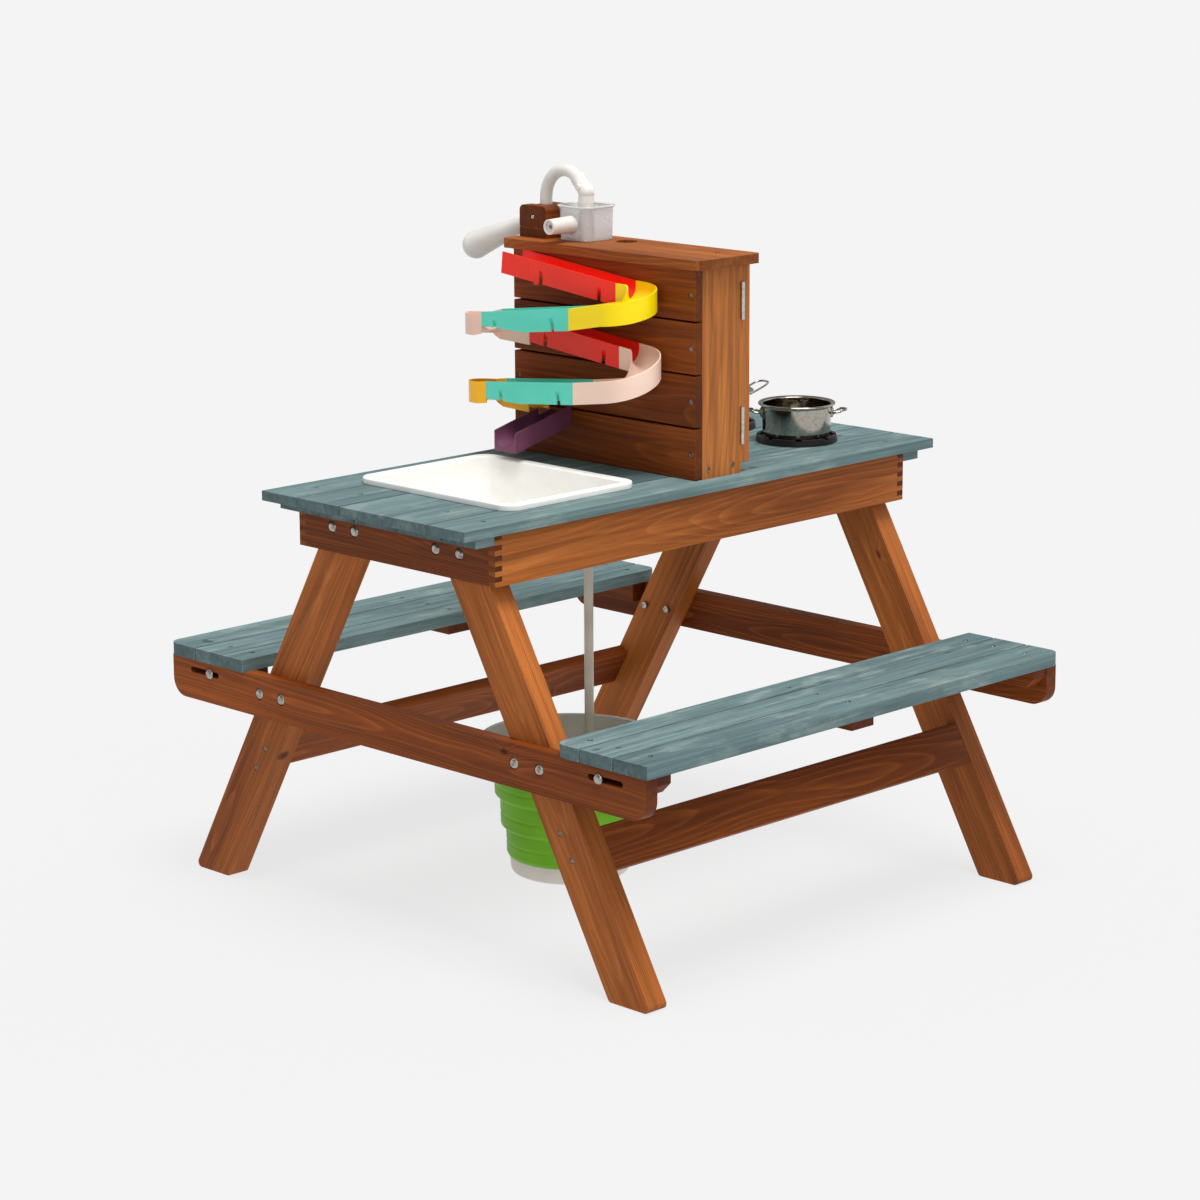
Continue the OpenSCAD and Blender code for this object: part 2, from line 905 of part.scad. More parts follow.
// One door: a thin outer panel on a frame of two rails and two stiles
module door(sy) {
    color("peru")
        mirror([0, sy < 0 ? 1 : 0, 0])
            difference() {
                union() {
                    block(
                        [door_x + door_frame_t, door_edge - door_w, door_z],
                        [door_panel_t, door_w, door_h]
                    );
                    for (z = [door_z, door_z + door_h - door_rail_w])
                        block([door_x, door_edge - door_w, z], [door_frame_t + eps, door_w, door_rail_w]);
                    for (y = [door_edge - door_rail_w, door_edge - door_w])
                        block(
                            [door_x, y, door_z + door_rail_w],
                            [door_frame_t + eps, door_rail_w, door_h - 2 * door_rail_w]
                        );
                }
                rod_x(
                    [door_x - over, door_edge - door_w + door_rail_w / 2, door_z + door_h / 2],
                    finger_hole_d, door_frame_t + door_panel_t + 2 * over
                );
                for (z = hinge_zs)
                    block(
                        [door_x - over, door_edge - hinge_leaf_w, z],
                        [hinge_leaf_t + over, hinge_leaf_w + over, hinge_l]
                    );
            }
}

// Each hinge has three knuckles: the leaf on the side board carries the outer two and the pin
module hinge_fixed_leaves() {
    color("silver")
        for (sy = [-1, 1])
            for (z = hinge_zs)
                mirror([0, sy < 0 ? 1 : 0, 0])
                    difference() {
                        union() {
                            for (k = [0, 2])
                                translate([hinge_x, hinge_y, z + k * knuckle_l])
                                    cylinder(d = hinge_d, h = knuckle_l - knuckle_gap);
                            translate([hinge_x, hinge_y, z])
                                cylinder(d = hinge_pin_d, h = hinge_l - knuckle_gap);
                            block(
                                [tower_x + side_d - hinge_leaf_t, tower_w / 2 - hinge_leaf_w, z],
                                [hinge_leaf_t, hinge_leaf_w + 2, hinge_l]
                            );
                        }
                        difference() {
                            translate([hinge_x, hinge_y, z + knuckle_l - knuckle_gap])
                                cylinder(d = hinge_d + 1, h = knuckle_l + knuckle_gap);
                            translate([hinge_x, hinge_y, z])
                                cylinder(d = hinge_pin_d, h = hinge_l);
                        }
                    }
}

module hinge_door_leaves(sy) {
    color("silver")
        mirror([0, sy < 0 ? 1 : 0, 0])
            for (z = hinge_zs)
                difference() {
                    union() {
                        translate([hinge_x, hinge_y, z + knuckle_l])
                            cylinder(d = hinge_d, h = knuckle_l - knuckle_gap);
                        difference() {
                            block(
                                [door_x, door_edge - hinge_leaf_w, z],
                                [hinge_leaf_t, hinge_leaf_w + 2.4, hinge_l]
                            );
                            for (k = [0, 2])
                                translate([hinge_x, hinge_y, z + k * knuckle_l - knuckle_gap])
                                    cylinder(d = hinge_d + 0.6, h = knuckle_l + knuckle_gap);
                        }
                    }
                    translate([hinge_x, hinge_y, z - over])
                        cylinder(d = hinge_pin_d + 2 * hinge_fit, h = hinge_l + 2 * over);
                }
}

// ---- Water tracks ----

// Half-round floor of a channel, hanging down from its top edge
module channel_floor(w, t, depth) {
    r = w / 2 - t;
    translate([0, -depth + r])
        difference() {
            circle(r + t);
            circle(r);
            translate([-w, 0])
                square([2 * w, 2 * w]);
        }
}

// The two side walls of a channel, hanging down from its top edge
module channel_walls(w, t, h) {
    for (s = [-1, 1])
        translate([s * (w - t) / 2 - t / 2, -h])
            square([t, h]);
}

// Stands a flat section up and runs it along +Y
module run_along_y(l) {
    translate([0, -end_spare, 0])
        rotate([90, 0, 180])
            linear_extrude(l + 2 * end_spare)
                children();
}

// A straight track in the lane at x. Its top edge runs between two [y, z] points, the
// first one at the lower y, and its notches are centred at the given distances from there.
module straight_track(x, from, to, notches, free_end = false) {
    run = norm(to - from);
    slope = atan2(to[1] - from[1], to[0] - from[0]);
    low_y = from[0] + track_gap;
    high_y = free_end ? to[0] + track_h : to[0] - track_gap;
    intersection() {
        translate([x, from[0], from[1]])
            rotate([slope, 0, 0])
                union() {
                    difference() {
                        track_body(run, free_end)
                            channel_walls(track_w, track_t, track_h);
                        for (n = notches)
                            translate([0, n, -track_h])
                                cube([track_w + 2 * over, notch_w, 2 * notch_h], center = true);
                    }
                    track_body(run, free_end)
                        channel_floor(track_w, track_t, groove_depth);
                }
        block([x - track_w, low_y, from[1] - track_w], [2 * track_w, high_y - low_y, 3 * track_w]);
    }
}

// The run of a straight track; a free end is cut square to the slope
module track_body(run, free_end) {
    difference() {
        run_along_y(run)
            children();
        if (free_end)
            block([-track_w, run, -2 * track_h], [2 * track_w, 2 * end_spare, 3 * track_h]);
    }
}

// Ring of points round a curved track's section, in [across, up] from its top edge's middle
function track_ring() = concat(
    [[-track_w / 2, -track_h], [-track_w / 2, 0], [-groove_r, 0]],
    [
        for (i = [0 : section_steps])
            let (a = 180 + 180 * i / section_steps)
                [groove_r * cos(a), groove_r - groove_depth + groove_r * sin(a)]
    ],
    [[groove_r, 0], [track_w / 2, 0], [track_w / 2, -track_h]]
);

// A curve joins the two lanes. side is -1 at the front and 1 at the back. The curve
// starts in the lane from_x at y_in and ends in the other at y_out. zs holds the top
// edge's height at the start, where the bend starts, where it ends and at the end.
function bend_frames(side, y_mid, from_s, y_in, y_out, zs) = concat(
    [[curve_x + from_s * curve_r, y_in, zs[0], 0]],
    [
        for (i = [0 : bend_steps])
            let (a = 180 * i / bend_steps, t = i / bend_steps)
                [
                    curve_x + from_s * curve_r * cos(a), y_mid + side * curve_r * sin(a),
                    zs[1] + (zs[2] - zs[1]) * (t - bend_ease * sin(360 * t)), a
                ]
    ],
    [[curve_x - from_s * curve_r, y_out, zs[3], 180]]
);

module curved_track(side, y_mid, from_s, y_in, y_out, zs) {
    ring = track_ring();
    frames = bend_frames(side, y_mid, from_s, y_in, y_out, zs);
    n = len(ring);
    m = len(frames);
    points = [
        for (f = frames)
            for (p = ring)
                [
                    f[0] + p[0] * cos(f[3]) * from_s,
                    f[1] + p[0] * sin(f[3]) * side,
                    f[2] + p[1]
                ]
    ];
    sides = [
        for (j = [0 : m - 2])
            for (i = [0 : n - 1])
                let (a = j * n + i, b = j * n + (i + 1) % n)
                    each [[a, b, b + n], [a, b + n, a + n]]
    ];
    start_cap = [for (i = [n - 1 : -1 : 0]) i];
    end_cap = [for (i = [0 : n - 1]) (m - 1) * n + i];
    faces = concat([start_cap], sides, [end_cap]);
    flip = side * from_s < 0;
    polyhedron(points, flip ? faces : [for (f = faces) [for (k = [len(f) - 1 : -1 : 0]) f[k]]]);
}

// Heights of the tracks' top edges where they join, going down
start_top = tower_z + 280;
red_end = [[-65, tower_z + 256.5], [100.5, tower_z + 274.5]];
teal_end = [[-25, tower_z + 224], [143, tower_z + 203.5]];
red_low_end = [[-71, tower_z + 173.5], [100, tower_z + 191.5]];
teal_low_end = [[-32, tower_z + 126], [136, tower_z + 109]];
yellow_y = -84;
pink_y = 158;
peach_y = -91;
orange_y = 153;
orange_out = 103;
tab_l = 8;
tab_h = 3;

module track_start() {
    color("red")
        straight_track(wall_lane, [red_end[1][0], red_end[1][1]], [151, start_top], [], true);
}

module track_red_upper() {
    color("red")
        union() {
            straight_track(wall_lane, red_end[0], red_end[1], [29, 140]);
            block(
                [wall_lane - track_w / 2, red_end[1][0] - 10 - tab_l, red_end[1][1] - track_h - tab_h - 1.5],
                [track_t, tab_l, tab_h + 3]
            );
        }
}

module track_curve_yellow() {
    color("gold")
        curved_track(
            -1, yellow_y, 1, red_end[0][0] - track_gap, teal_end[0][0] - track_gap,
            [red_end[0][1], red_end[0][1] - 0.5, teal_end[0][1] + 11.5, teal_end[0][1]]
        );
}

module track_teal_upper() {
    color("mediumturquoise")
        straight_track(outer_lane, teal_end[0], teal_end[1], [34, 145]);
}

module track_curve_pink() {
    color("mistyrose")
        curved_track(
            1, pink_y, -1, teal_end[1][0] + track_gap, red_low_end[1][0] + track_gap,
            [teal_end[1][1], teal_end[1][1] - 4, red_low_end[1][1] - 2.5, red_low_end[1][1] - 4.5]
        );
}

module track_red_lower() {
    color("red")
        straight_track(wall_lane, red_low_end[0], red_low_end[1], [27, 138]);
}

module track_curve_peach() {
    color("bisque")
        curved_track(
            -1, peach_y, 1, red_low_end[0][0] - track_gap, teal_low_end[0][0] - track_gap,
            [red_low_end[0][1], red_low_end[0][1] - 2, teal_low_end[0][1] + 8.5, teal_low_end[0][1]]
        );
}

module track_teal_lower() {
    color("mediumturquoise")
        straight_track(outer_lane, teal_low_end[0], teal_low_end[1], [30, 141]);
}

module track_curve_orange() {
    color("orange")
        curved_track(
            1, orange_y, -1, teal_low_end[1][0] + track_gap, orange_out,
            [teal_low_end[1][1], teal_low_end[1][1] - 2.5, teal_low_end[1][1] - 13, teal_low_end[1][1] - 14.5]
        );
}

// The spout runs out from the tower over the basin; its back wall is open beside the tower
module track_spout() {
    color("purple")
        difference() {
            intersection() {
                translate([front_x - wall_gap, spout_y, tower_z + spout_top])
                    rotate([0, -spout_slope, 0])
                        rotate([0, 0, 90])
                            union() {
                                run_along_y(spout_l)
                                    channel_walls(spout_w, spout_t, spout_h);
                                run_along_y(spout_l)
                                    channel_floor(spout_w, spout_t, spout_depth);
                                run_along_y(spout_l)
                                    translate([-spout_w / 2, -spout_h])
                                        difference() {
                                            square([spout_w, spout_h / 2]);
                                            translate([
                                                spout_w / 2, spout_h - spout_depth + spout_w / 2 - spout_t
                                            ])
                                                circle(spout_w / 2 - spout_t + eps);
                                        }
                            }
                block(
                    [front_x - wall_gap - spout_reach, spout_y - spout_w, tower_z],
                    [spout_reach, 2 * spout_w, tower_h / 2]
                );
            }
            block(
                [front_x - spout_open, spout_y + spout_w / 2 - spout_t - over,
                 tower_z + spout_top - spout_h * 0.55],
                [spout_open + over, spout_t + 2 * over, spout_h]
            );
        }
}

// ---- Pump ----

// The block carries the lever in a slot that is open at the back and part of the top
module pump_block() {
    color("saddlebrown")
        difference() {
            translate([block_x, 0, 0])
                rotate([90, 0, 90])
                    linear_extrude(block_l)
                        block_outline();
            translate([pump_x - slot_w / 2, rod_y - slot_front, cap_top + slot_floor])
                cube([slot_w, block_w, slot_roof - slot_floor]);
            translate([pump_x - slot_w / 2, slot_top_y, cap_top + slot_floor])
                cube([slot_w, block_w, block_h]);
            rod_x([block_x - over, pivot_y, pivot_z], pivot_d, block_l + 2 * over);
            translate([pump_x, rod_y, cap_top - over])
                cylinder(d = rod_d + 1, h = slot_floor + 2 * over);
            translate([pump_x, neck_y, neck_z - neck_seat])
                cylinder(d = neck_d, h = neck_seat + over);
            for (sx = [0, 1])
                translate([block_x + sx * block_l, 0, cap_top + groove_z])
                    rotate([0, 45, 0])
                        block(
                            [-groove_cut / 2, block_y - over, -groove_cut / 2],
                            [groove_cut, block_w + 2 * over, groove_cut]
                        );
        }
}

module block_outline() {
    translate([block_y, cap_top])
        square([block_w, block_h - block_r]);
    translate([block_y + block_r, cap_top])
        square([block_w - 2 * block_r, block_h]);
    for (y = [block_y + block_r, block_y + block_w - block_r])
        translate([y, cap_top + block_h - block_r])
            circle(block_r);
}

// The lever: a grip that widens to a round end, on a flat neck with a short drive arm
module pump_lever() {
    color("whitesmoke")
        difference() {
            union() {
                translate([pump_x, pivot_y, pivot_z + lever_rise])
                    rotate([-90 - lever_drop, 0, 0])
                        rotate_extrude()
                            grip_outline();
                rod_x([pump_x - lever_hub_w / 2, pivot_y, pivot_z], lever_hub_d, lever_hub_w);
                translate([pump_x - lever_neck_w / 2, pivot_y, pivot_z])
                    rotate([-neck_angle, 0, 0])
                        translate([0, 0, -lever_neck_h / 2])
                            cube([lever_neck_w, lever_start + 3, lever_neck_h]);
                translate([pump_x - arm_t / 2, pivot_y, pivot_z])
                    rotate([-arm_rise, 0, 0])
                        drive_arm();
                rod_x(
                    [pump_x - drive_pin_l / 2, pivot_y - arm_l * cos(arm_rise), pin_z],
                    drive_pin_d, drive_pin_l
                );
            }
            rod_x([pump_x - slot_w, pivot_y, pivot_z], pivot_d + 2 * lever_fit, 2 * slot_w);
        }
}

module drive_arm() {
    translate([0, -arm_l, -arm_w / 2])
        cube([arm_t, arm_l, arm_w]);
    rod_x([0, -arm_l, 0], arm_w, arm_t);
}

// Half of the grip's outline, from its start out to its round end
module grip_outline() {
    polygon([
        [0, lever_start], [lever_r, lever_start], [lever_end_r, lever_l], [0, lever_l]
    ]);
    intersection() {
        translate([0, lever_l])
            circle(lever_end_r);
        translate([0, lever_l - eps])
            square(lever_end_r + 2 * over);
    }
}

// The piston and its rod; the fork at the top takes the lever's drive pin
module pump_piston() {
    color("gainsboro") {
        translate([pump_x, rod_y, piston_z])
            cylinder(d = piston_d, h = piston_h);
        translate([pump_x, rod_y, piston_z + piston_h - eps])
            cylinder(d = rod_d, h = fork_z - piston_z - piston_h + 2 * eps);
        difference() {
            block(
                [pump_x - fork_l / 2, rod_y - fork_w / 2, fork_z],
                [fork_l, fork_w, pin_z - fork_z + fork_w / 2]
            );
            block(
                [pump_x - arm_t / 2 - 0.5, rod_y - fork_w, fork_z + fork_floor],
                [arm_t + 1, 2 * fork_w, fork_w + pin_z - fork_z]
            );
            for (dy = [-1, 1])
                rod_x(
                    [pump_x - fork_l, rod_y + dy * pin_sway, pin_z],
                    drive_pin_d + 2 * pin_fit, 2 * fork_l
                );
            block(
                [pump_x - fork_l, rod_y - pin_sway, pin_z - drive_pin_d / 2 - pin_fit],
                [2 * fork_l, 2 * pin_sway, drive_pin_d + 2 * pin_fit]
            );
        }
    }
}

// The cylinder hangs under the top board, open below so that the piston can be drawn
module pump_cylinder() {
    color("ghostwhite")
        difference() {
            translate([pump_x, rod_y, cap_z - cylinder_h])
                cylinder(d = cylinder_d, h = cylinder_h);
            translate([pump_x, rod_y, cap_z - cylinder_h + cylinder_floor])
                cylinder(d = piston_d + 2 * piston_fit, h = cylinder_h - cylinder_floor - cylinder_head);
            translate([pump_x, rod_y, cap_z - cylinder_head - over])
                cylinder(d = rod_d + 2 * rod_fit, h = cylinder_head + 2 * over);
            translate([pump_x, rod_y, cap_z - cylinder_h - over])
                cylinder(d = port_d, h = cylinder_floor + 2 * over);
        }
}

// The gooseneck stands in the block, bends over and ends in the riser's sleeve
module pump_gooseneck() {
    color("ghostwhite")
        translate([pump_x, neck_y, neck_z - neck_seat])
            rotate([0, 0, -neck_lean]) {
                tube(neck_d, neck_t, neck_seat + neck_rise);
                translate([0, -neck_bend_r, neck_seat + neck_rise])
                    rotate([90, 0, 90])
                        neck_arc();
            }
}

module neck_arc() {
    rotate_extrude(angle = neck_bend)
        translate([neck_bend_r, 0])
            difference() {
                circle(d = neck_d);
                circle(d = neck_d - 2 * neck_t);
            }
}

module tube(d, t, h) {
    difference() {
        cylinder(d = d, h = h);
        translate([0, 0, -over])
            cylinder(d = d - 2 * t, h = h + 2 * over);
    }
}

// The riser inside the cup, with its collar, its elbow and the cross pin of the fitting
module pump_riser() {
    color("white")
        translate([pipe_x, pipe_y, 0])
            difference() {
                union() {
                    translate([0, 0, riser_z])
                        cylinder(d = riser_d, h = collar_z - riser_z + eps);
                    translate([0, 0, collar_z])
                        cylinder(d = riser_d + 1, h = collar_h);
                    translate([0, 0, collar_z + collar_h - eps])
                        cylinder(d = fitting_d, h = elbow_z - collar_z - collar_h + eps);
                    translate([0, 0, elbow_z])
                        sphere(d = elbow_d);
                    sleeve_turn()
                        cylinder(d = sleeve_d, h = sleeve_l);
                    rod_x([-cross_pin_l / 2, cross_pin_y, cross_pin_z], cross_pin_d, cross_pin_l);
                }
                translate([0, 0, riser_z - over])
                    cylinder(d = dip_d, h = riser_socket + over);
                translate([0, 0, riser_z])
                    cylinder(d = dip_d - 4, h = elbow_z - riser_z);
                sleeve_turn()
                    translate([0, 0, sleeve_socket])
                        cylinder(d = neck_d + 2 * touch, h = sleeve_l);
                sleeve_turn()
                    cylinder(d = neck_d - 2 * neck_t, h = sleeve_l);
            }
}

// Points +Z along the end of the gooseneck
module sleeve_turn() {
    translate([0, 0, elbow_z])
        rotate([0, 0, -neck_lean])
            rotate([-(180 - neck_bend), 0, 0])
                children();
}

module water_cup() {
    color("ghostwhite")
        translate([cup_x, cup_y, cap_top])
            difference() {
                union() {
                    cup_layer(0, 0, cup_h);
                    cup_layer(-cup_rim, cup_h - cup_rim, cup_rim);
                }
                cup_layer(cup_t, cup_t, cup_h);
                translate([pipe_x - cup_x, pipe_y - cup_y, -over])
                    cylinder(d = dip_d + 2 * touch, h = cup_t + 2 * over);
                rod_x([-cup_w, spigot_y, spigot_z], spigot_neck_d, cup_w);
            }
}

// A slab of the cup's outline, drawn in by t, from height z
module cup_layer(t, z, h) {
    translate([0, 0, z])
        linear_extrude(h)
            rounded_rect(cup_w - 2 * t, cup_w - 2 * t, cup_r - t);
}

// A short tapered tube from the cup's wall out over the first track
module cup_spigot() {
    color("whitesmoke")
        translate([cup_x - cup_w / 2, cup_y + spigot_y, cap_top + spigot_z])
            rotate([0, -90, 0])
                difference() {
                    union() {
                        translate([0, 0, -cup_t])
                            cylinder(d = spigot_neck_d, h = cup_t + eps);
                        cylinder(d1 = spigot_d, d2 = spigot_tip_d, h = spigot_l);
                    }
                    translate([0, 0, -over - cup_t])
                        cylinder(d = spigot_bore, h = spigot_l + 3 * cup_t);
                    translate([0, 0, spigot_l - spigot_lip])
                        cylinder(d = spigot_tip_d - 4, h = spigot_lip + over);
                }
}

// The suction pipe runs down from the riser into the bucket and ends in a strainer
module suction_pipe() {
    color("ghostwhite")
        translate([pipe_x, pipe_y, 0])
            difference() {
                union() {
                    translate([0, 0, strainer_z])
                        cylinder(d = dip_d, h = riser_z + riser_socket - strainer_z);
                    translate([0, 0, strainer_z])
                        cylinder(d = strainer_d, h = strainer_h);
                }
                translate([0, 0, strainer_z + 3])
                    cylinder(d = dip_d - 4, h = cap_top + cup_h);
                for (a = [0 : 60 : 150])
                    translate([0, 0, strainer_z + strainer_h / 2])
                        rotate([0, 0, a])
                            cube([2 * strainer_d, 2.5, strainer_h - 8], center = true);
            }
}

// ---- Kitchen side ----

// Two round hob rings with a stepped top and slots round the outside
module hob_rings() {
    color("dimgray")
        for (y = [front_pan_y, back_pan_y])
            translate([pan_x, y, hob_z])
                difference() {
                    union() {
                        cylinder(d = hob_d, h = hob_foot_h);
                        cylinder(d = hob_d - 2 * hob_band, h = hob_h - hob_step);
                        ring(hob_d - 2, hob_d - 2 * hob_band + 2, hob_h);
                    }
                    for (a = [0 : 45 : 315])
                        rotate([0, 0, a])
                            translate([hob_d / 2 - 8, -hob_slot_w / 2, hob_h - 3])
                                cube([10, hob_slot_w, 4]);
                }
}

module ring(d_out, d_in, h) {
    difference() {
        cylinder(d = d_out, h = h);
        translate([0, 0, -over])
            cylinder(d = d_in, h = h + 2 * over);
    }
}

// A thin-walled pan with a rounded foot and a rolled rim
module pan_shell() {
    r = pan_d / 2;
    foot = pan_foot_r;
    rotate_extrude()
        difference() {
            union() {
                square([r - foot, foot]);
                translate([0, foot])
                    square([r, pan_h - foot]);
                intersection() {
                    translate([r - foot, foot])
                        circle(foot);
                    square([r, foot]);
                }
                translate([0, pan_h - 2])
                    square([r + 4.5, 1.2]);
                translate([r + 4, pan_h - 1.8])
                    circle(1.6);
            }
            translate([-over, foot])
                square([r - pan_t + over, pan_h]);
            translate([-over, pan_t])
                square([r - foot + over, foot]);
            intersection() {
                translate([r - foot, foot])
                    circle(foot - pan_t);
                square([r, foot + over]);
            }
            translate([-foot, -over])
                square([foot, pan_h + 2 * over]);
        }
}

// A wire loop handle on a riveted plate, pointing along +X from the pan's wall
module wire_handle(reach, w, tilt) {
    r = pan_d / 2;
    translate([r - 0.4, 0, pan_h - 17]) {
        block([0, -6, -5], [2, 12, 15]);
        for (dz = [-1.5, 6])
            translate([2 - eps, 0, dz])
                face([1, 0, 0])
                    dome(4.5, 1.5);
        rotate([0, -tilt, 0])
            translate([1.4, 0, 0]) {
                for (s = [-1, 1])
                    rod_x([0, s * w / 2, 2], wire_d, reach - w / 2);
                translate([reach - w / 2 - eps, 0, 2])
                    loop_end(w);
                rod_y_dir([1, -w / 2, 2], wire_d, w);
            }
    }
}

module loop_end(w) {
    rotate([0, 0, -90])
        rotate_extrude(angle = 180)
            translate([w / 2, 0])
                circle(d = wire_d);
}

module cooking_pot() {
    color("lightgray")
        translate([pan_x, front_pan_y, pan_z])
            rotate([0, 0, -45]) {
                pan_shell();
                for (a = [0, 180])
                    rotate([0, 0, a])
                        wire_handle(20, 22, 12);
            }
}

module frying_pan() {
    color("lightgray")
        translate([pan_x, back_pan_y, pan_z]) {
            pan_shell();
            wire_handle(58, 24, 16);
        }
}

// ---- Basin ----

// The tub hangs from its flange, which stands above the planks on narrow skirts
module basin() {
    color("white")
        translate([basin_x, 0, 0])
            difference() {
                union() {
                    translate([0, 0, rim_top - basin_t])
                        linear_extrude(basin_t)
                            rounded_rect(basin_l, basin_w, basin_r);
                    tub(0, rim_top - 1);
                    for (s = [-1, 1]) {
                        translate([s * (basin_l / 2 - 2) - 1, -basin_w / 2 + basin_r, top_h])
                            cube([2, basin_w - 2 * basin_r, skirt_h + eps]);
                        translate([-basin_l / 2 + basin_r, s * (basin_w / 2 - 2) - 1, top_h])
                            cube([basin_l - 2 * basin_r, 2, skirt_h + eps]);
                    }
                }
                tub(basin_t, rim_top + over);
                translate([drain_x - basin_x, drain_y, top_h - basin_d - over])
                    cylinder(d = drain_d, h = basin_t + 2 * over);
            }
}

// The tub's outline, drawn in by t; its walls lean in towards the bottom
module tub(t, top) {
    hull()
        for (level = [[top, 0], [top_h - basin_d + t, tub_taper]])
            for (c = corners4(tub_l - 2 * t - 2 * level[1], tub_w - 2 * t - 2 * level[1], tub_r))
                translate([c[0], c[1], level[0] - (level[1] > 0 ? 0 : eps)])
                    cylinder(r = tub_r, h = eps, $fn = hull_fn);
}

// The plug drops into the drain from inside the tub
module basin_plug() {
    color("lightgray")
        translate([drain_x, drain_y, top_h - basin_d]) {
            translate([0, 0, -2])
                cylinder(d = drain_d - 2 * touch, h = basin_t + 2 + eps);
            translate([0, 0, basin_t])
                cylinder(d = plug_flange_d, h = plug_flange_t);
            translate([0, 0, basin_t + plug_flange_t - eps])
                cylinder(d = plug_knob_d, h = plug_knob_h);
        }
}

// ---- Fasteners of the fixed frame ----

module frame_bolts() {
    color("silver") {
        for (sx = [-1, 1])
            for (y = beam_bolt_ys)
                translate([sx * (leg_x + beam_t - sink_h), y, beam_mid_z])
                    face([sx, 0, 0])
                        carriage_bolt(beam_t - sink_h + leg_t + nut_h);
        for (sx = [-1, 1])
            for (y = apron_bolt_ys)
                translate([sx * (apron_x - sink_h), y, apron_bolt_z])
                    face([sx, 0, 0])
                        carriage_bolt(apron_t - sink_h + leg_t + nut_h);
        pivot_bolt();
    }
}

module pivot_bolt() {
    rod_x([block_x - 0.5, pivot_y, pivot_z], pivot_d, block_l + 1);
    for (sx = [-1, 1])
        translate([pump_x + sx * block_l / 2, pivot_y, pivot_z])
            face([sx, 0, 0])
                dome(8, 2);
}

module frame_screws() {
    color("dimgray") {
        for (p = concat(top_screws, outer_screws))
            translate([p[0], p[1], top_h])
                screw();
        for (p = tower_screws)
            translate([front_x, p[0], p[1]])
                face([-1, 0, 0])
                    screw();
        for (sy = [-1, 1])
            for (p = side_screws)
                translate([p[0], sy * tower_w / 2, p[1]])
                    face([0, sy, 0])
                        screw();
        for (p = cap_screws)
            translate([p[0], p[1], cap_top])
                screw();
        for (sx = [-1, 1])
            for (sy = [-1, 1])
                for (p = leg_screws)
                    translate([sx * leg_x, sy * p[0], p[1]])
                        face([sx, 0, 0])
                            screw();
    }
}

// ---- Bucket ----

// The base cup
module bucket_base() {
    color("whitesmoke")
        translate([bucket_x, bucket_y, 0])
            rotate_extrude()
                difference() {
                    union() {
                        square([bucket_r - base_foot_r, base_h]);
                        translate([0, base_foot_r])
                            square([bucket_r, base_h - base_foot_r]);
                        intersection() {
                            translate([bucket_r - base_foot_r, base_foot_r])
                                circle(base_foot_r);
                            square([bucket_r, base_foot_r]);
                        }
                    }
                    translate([-over, base_floor])
                        square([bucket_r - bucket_t + over, base_h]);
                    translate([-bucket_r, -over])
                        square([bucket_r, base_h + 2 * over]);
                }
}

// One collapsible ring: a wall, and a step inwards to the piece below it
module bucket_ring(i) {
    low = ring_z[i];
    high = ring_z[i + 1];
    r = ring_r[i];
    inner = (i == 0 ? bucket_r : ring_r[i - 1]) + ring_slip;
    color(i == 3 ? "ghostwhite" : "limegreen")
        translate([bucket_x, bucket_y, 0])
            rotate_extrude()
                union() {
                    translate([r - bucket_t, low])
                        square([bucket_t, high - low - ring_slip]);
                    polygon([
                        [inner, low - ring_step], [r, low], [r, low + bucket_t],
                        [inner, low - ring_step + bucket_t]
                    ]);
                    if (i == 3)
                        translate([r - bucket_t, high - ring_slip - 4])
                            square([bucket_t + rim_lip, 4]);
                }
}

leg(-1, -1);  // leg_front_left
leg(1, -1);  // leg_front_right
leg(-1, 1);  // leg_back_left
leg(1, 1);  // leg_back_right
beam(-1);  // seat_beam_left
beam(1);  // seat_beam_right
rail(-1);  // rail_front
rail(1);  // rail_back
apron_long_boards();
apron_end_boards();
top_plank(0);  // top_plank_1
top_plank(1);  // top_plank_2
top_plank(2);  // top_plank_3
top_plank(3);  // top_plank_4
top_plank(4);  // top_plank_5
tower_front_boards();
tower_side_boards();
tower_top_board();
door(-1);  // door_front
door(1);  // door_back
hinge_fixed_leaves();
hinge_door_leaves(-1);  // hinge_leaves_front
hinge_door_leaves(1);  // hinge_leaves_back
track_start();
track_red_upper();
track_curve_yellow();
track_teal_upper();
track_curve_pink();
track_red_lower();
track_curve_peach();
track_teal_lower();
track_curve_orange();
track_spout();
pump_block();
pump_lever();
pump_piston();
pump_cylinder();
pump_gooseneck();
pump_riser();
water_cup();
cup_spigot();
suction_pipe();
hob_rings();
basin();
basin_plug();
bench_planks(-1);  // bench_front_planks
bench_cleats(-1);  // bench_front_cleats
bench_bolts(-1);  // bench_front_bolts
bench_planks(1);  // bench_back_planks
bench_cleats(1);  // bench_back_cleats
bench_bolts(1);  // bench_back_bolts
frame_bolts();
frame_screws();
cooking_pot();
frying_pan();
bucket_base();
bucket_ring(0);  // bucket_ring_lower
bucket_ring(1);  // bucket_ring_middle
bucket_ring(2);  // bucket_ring_upper
bucket_ring(3);  // bucket_rim
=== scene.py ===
# Looks of the sand and water table: stained wood boards, moulded plastics, metal
# fittings and pans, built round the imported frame. All lengths are in metres.
import json
import math
import random

import bmesh
import bpy
from mathutils import Matrix, Vector

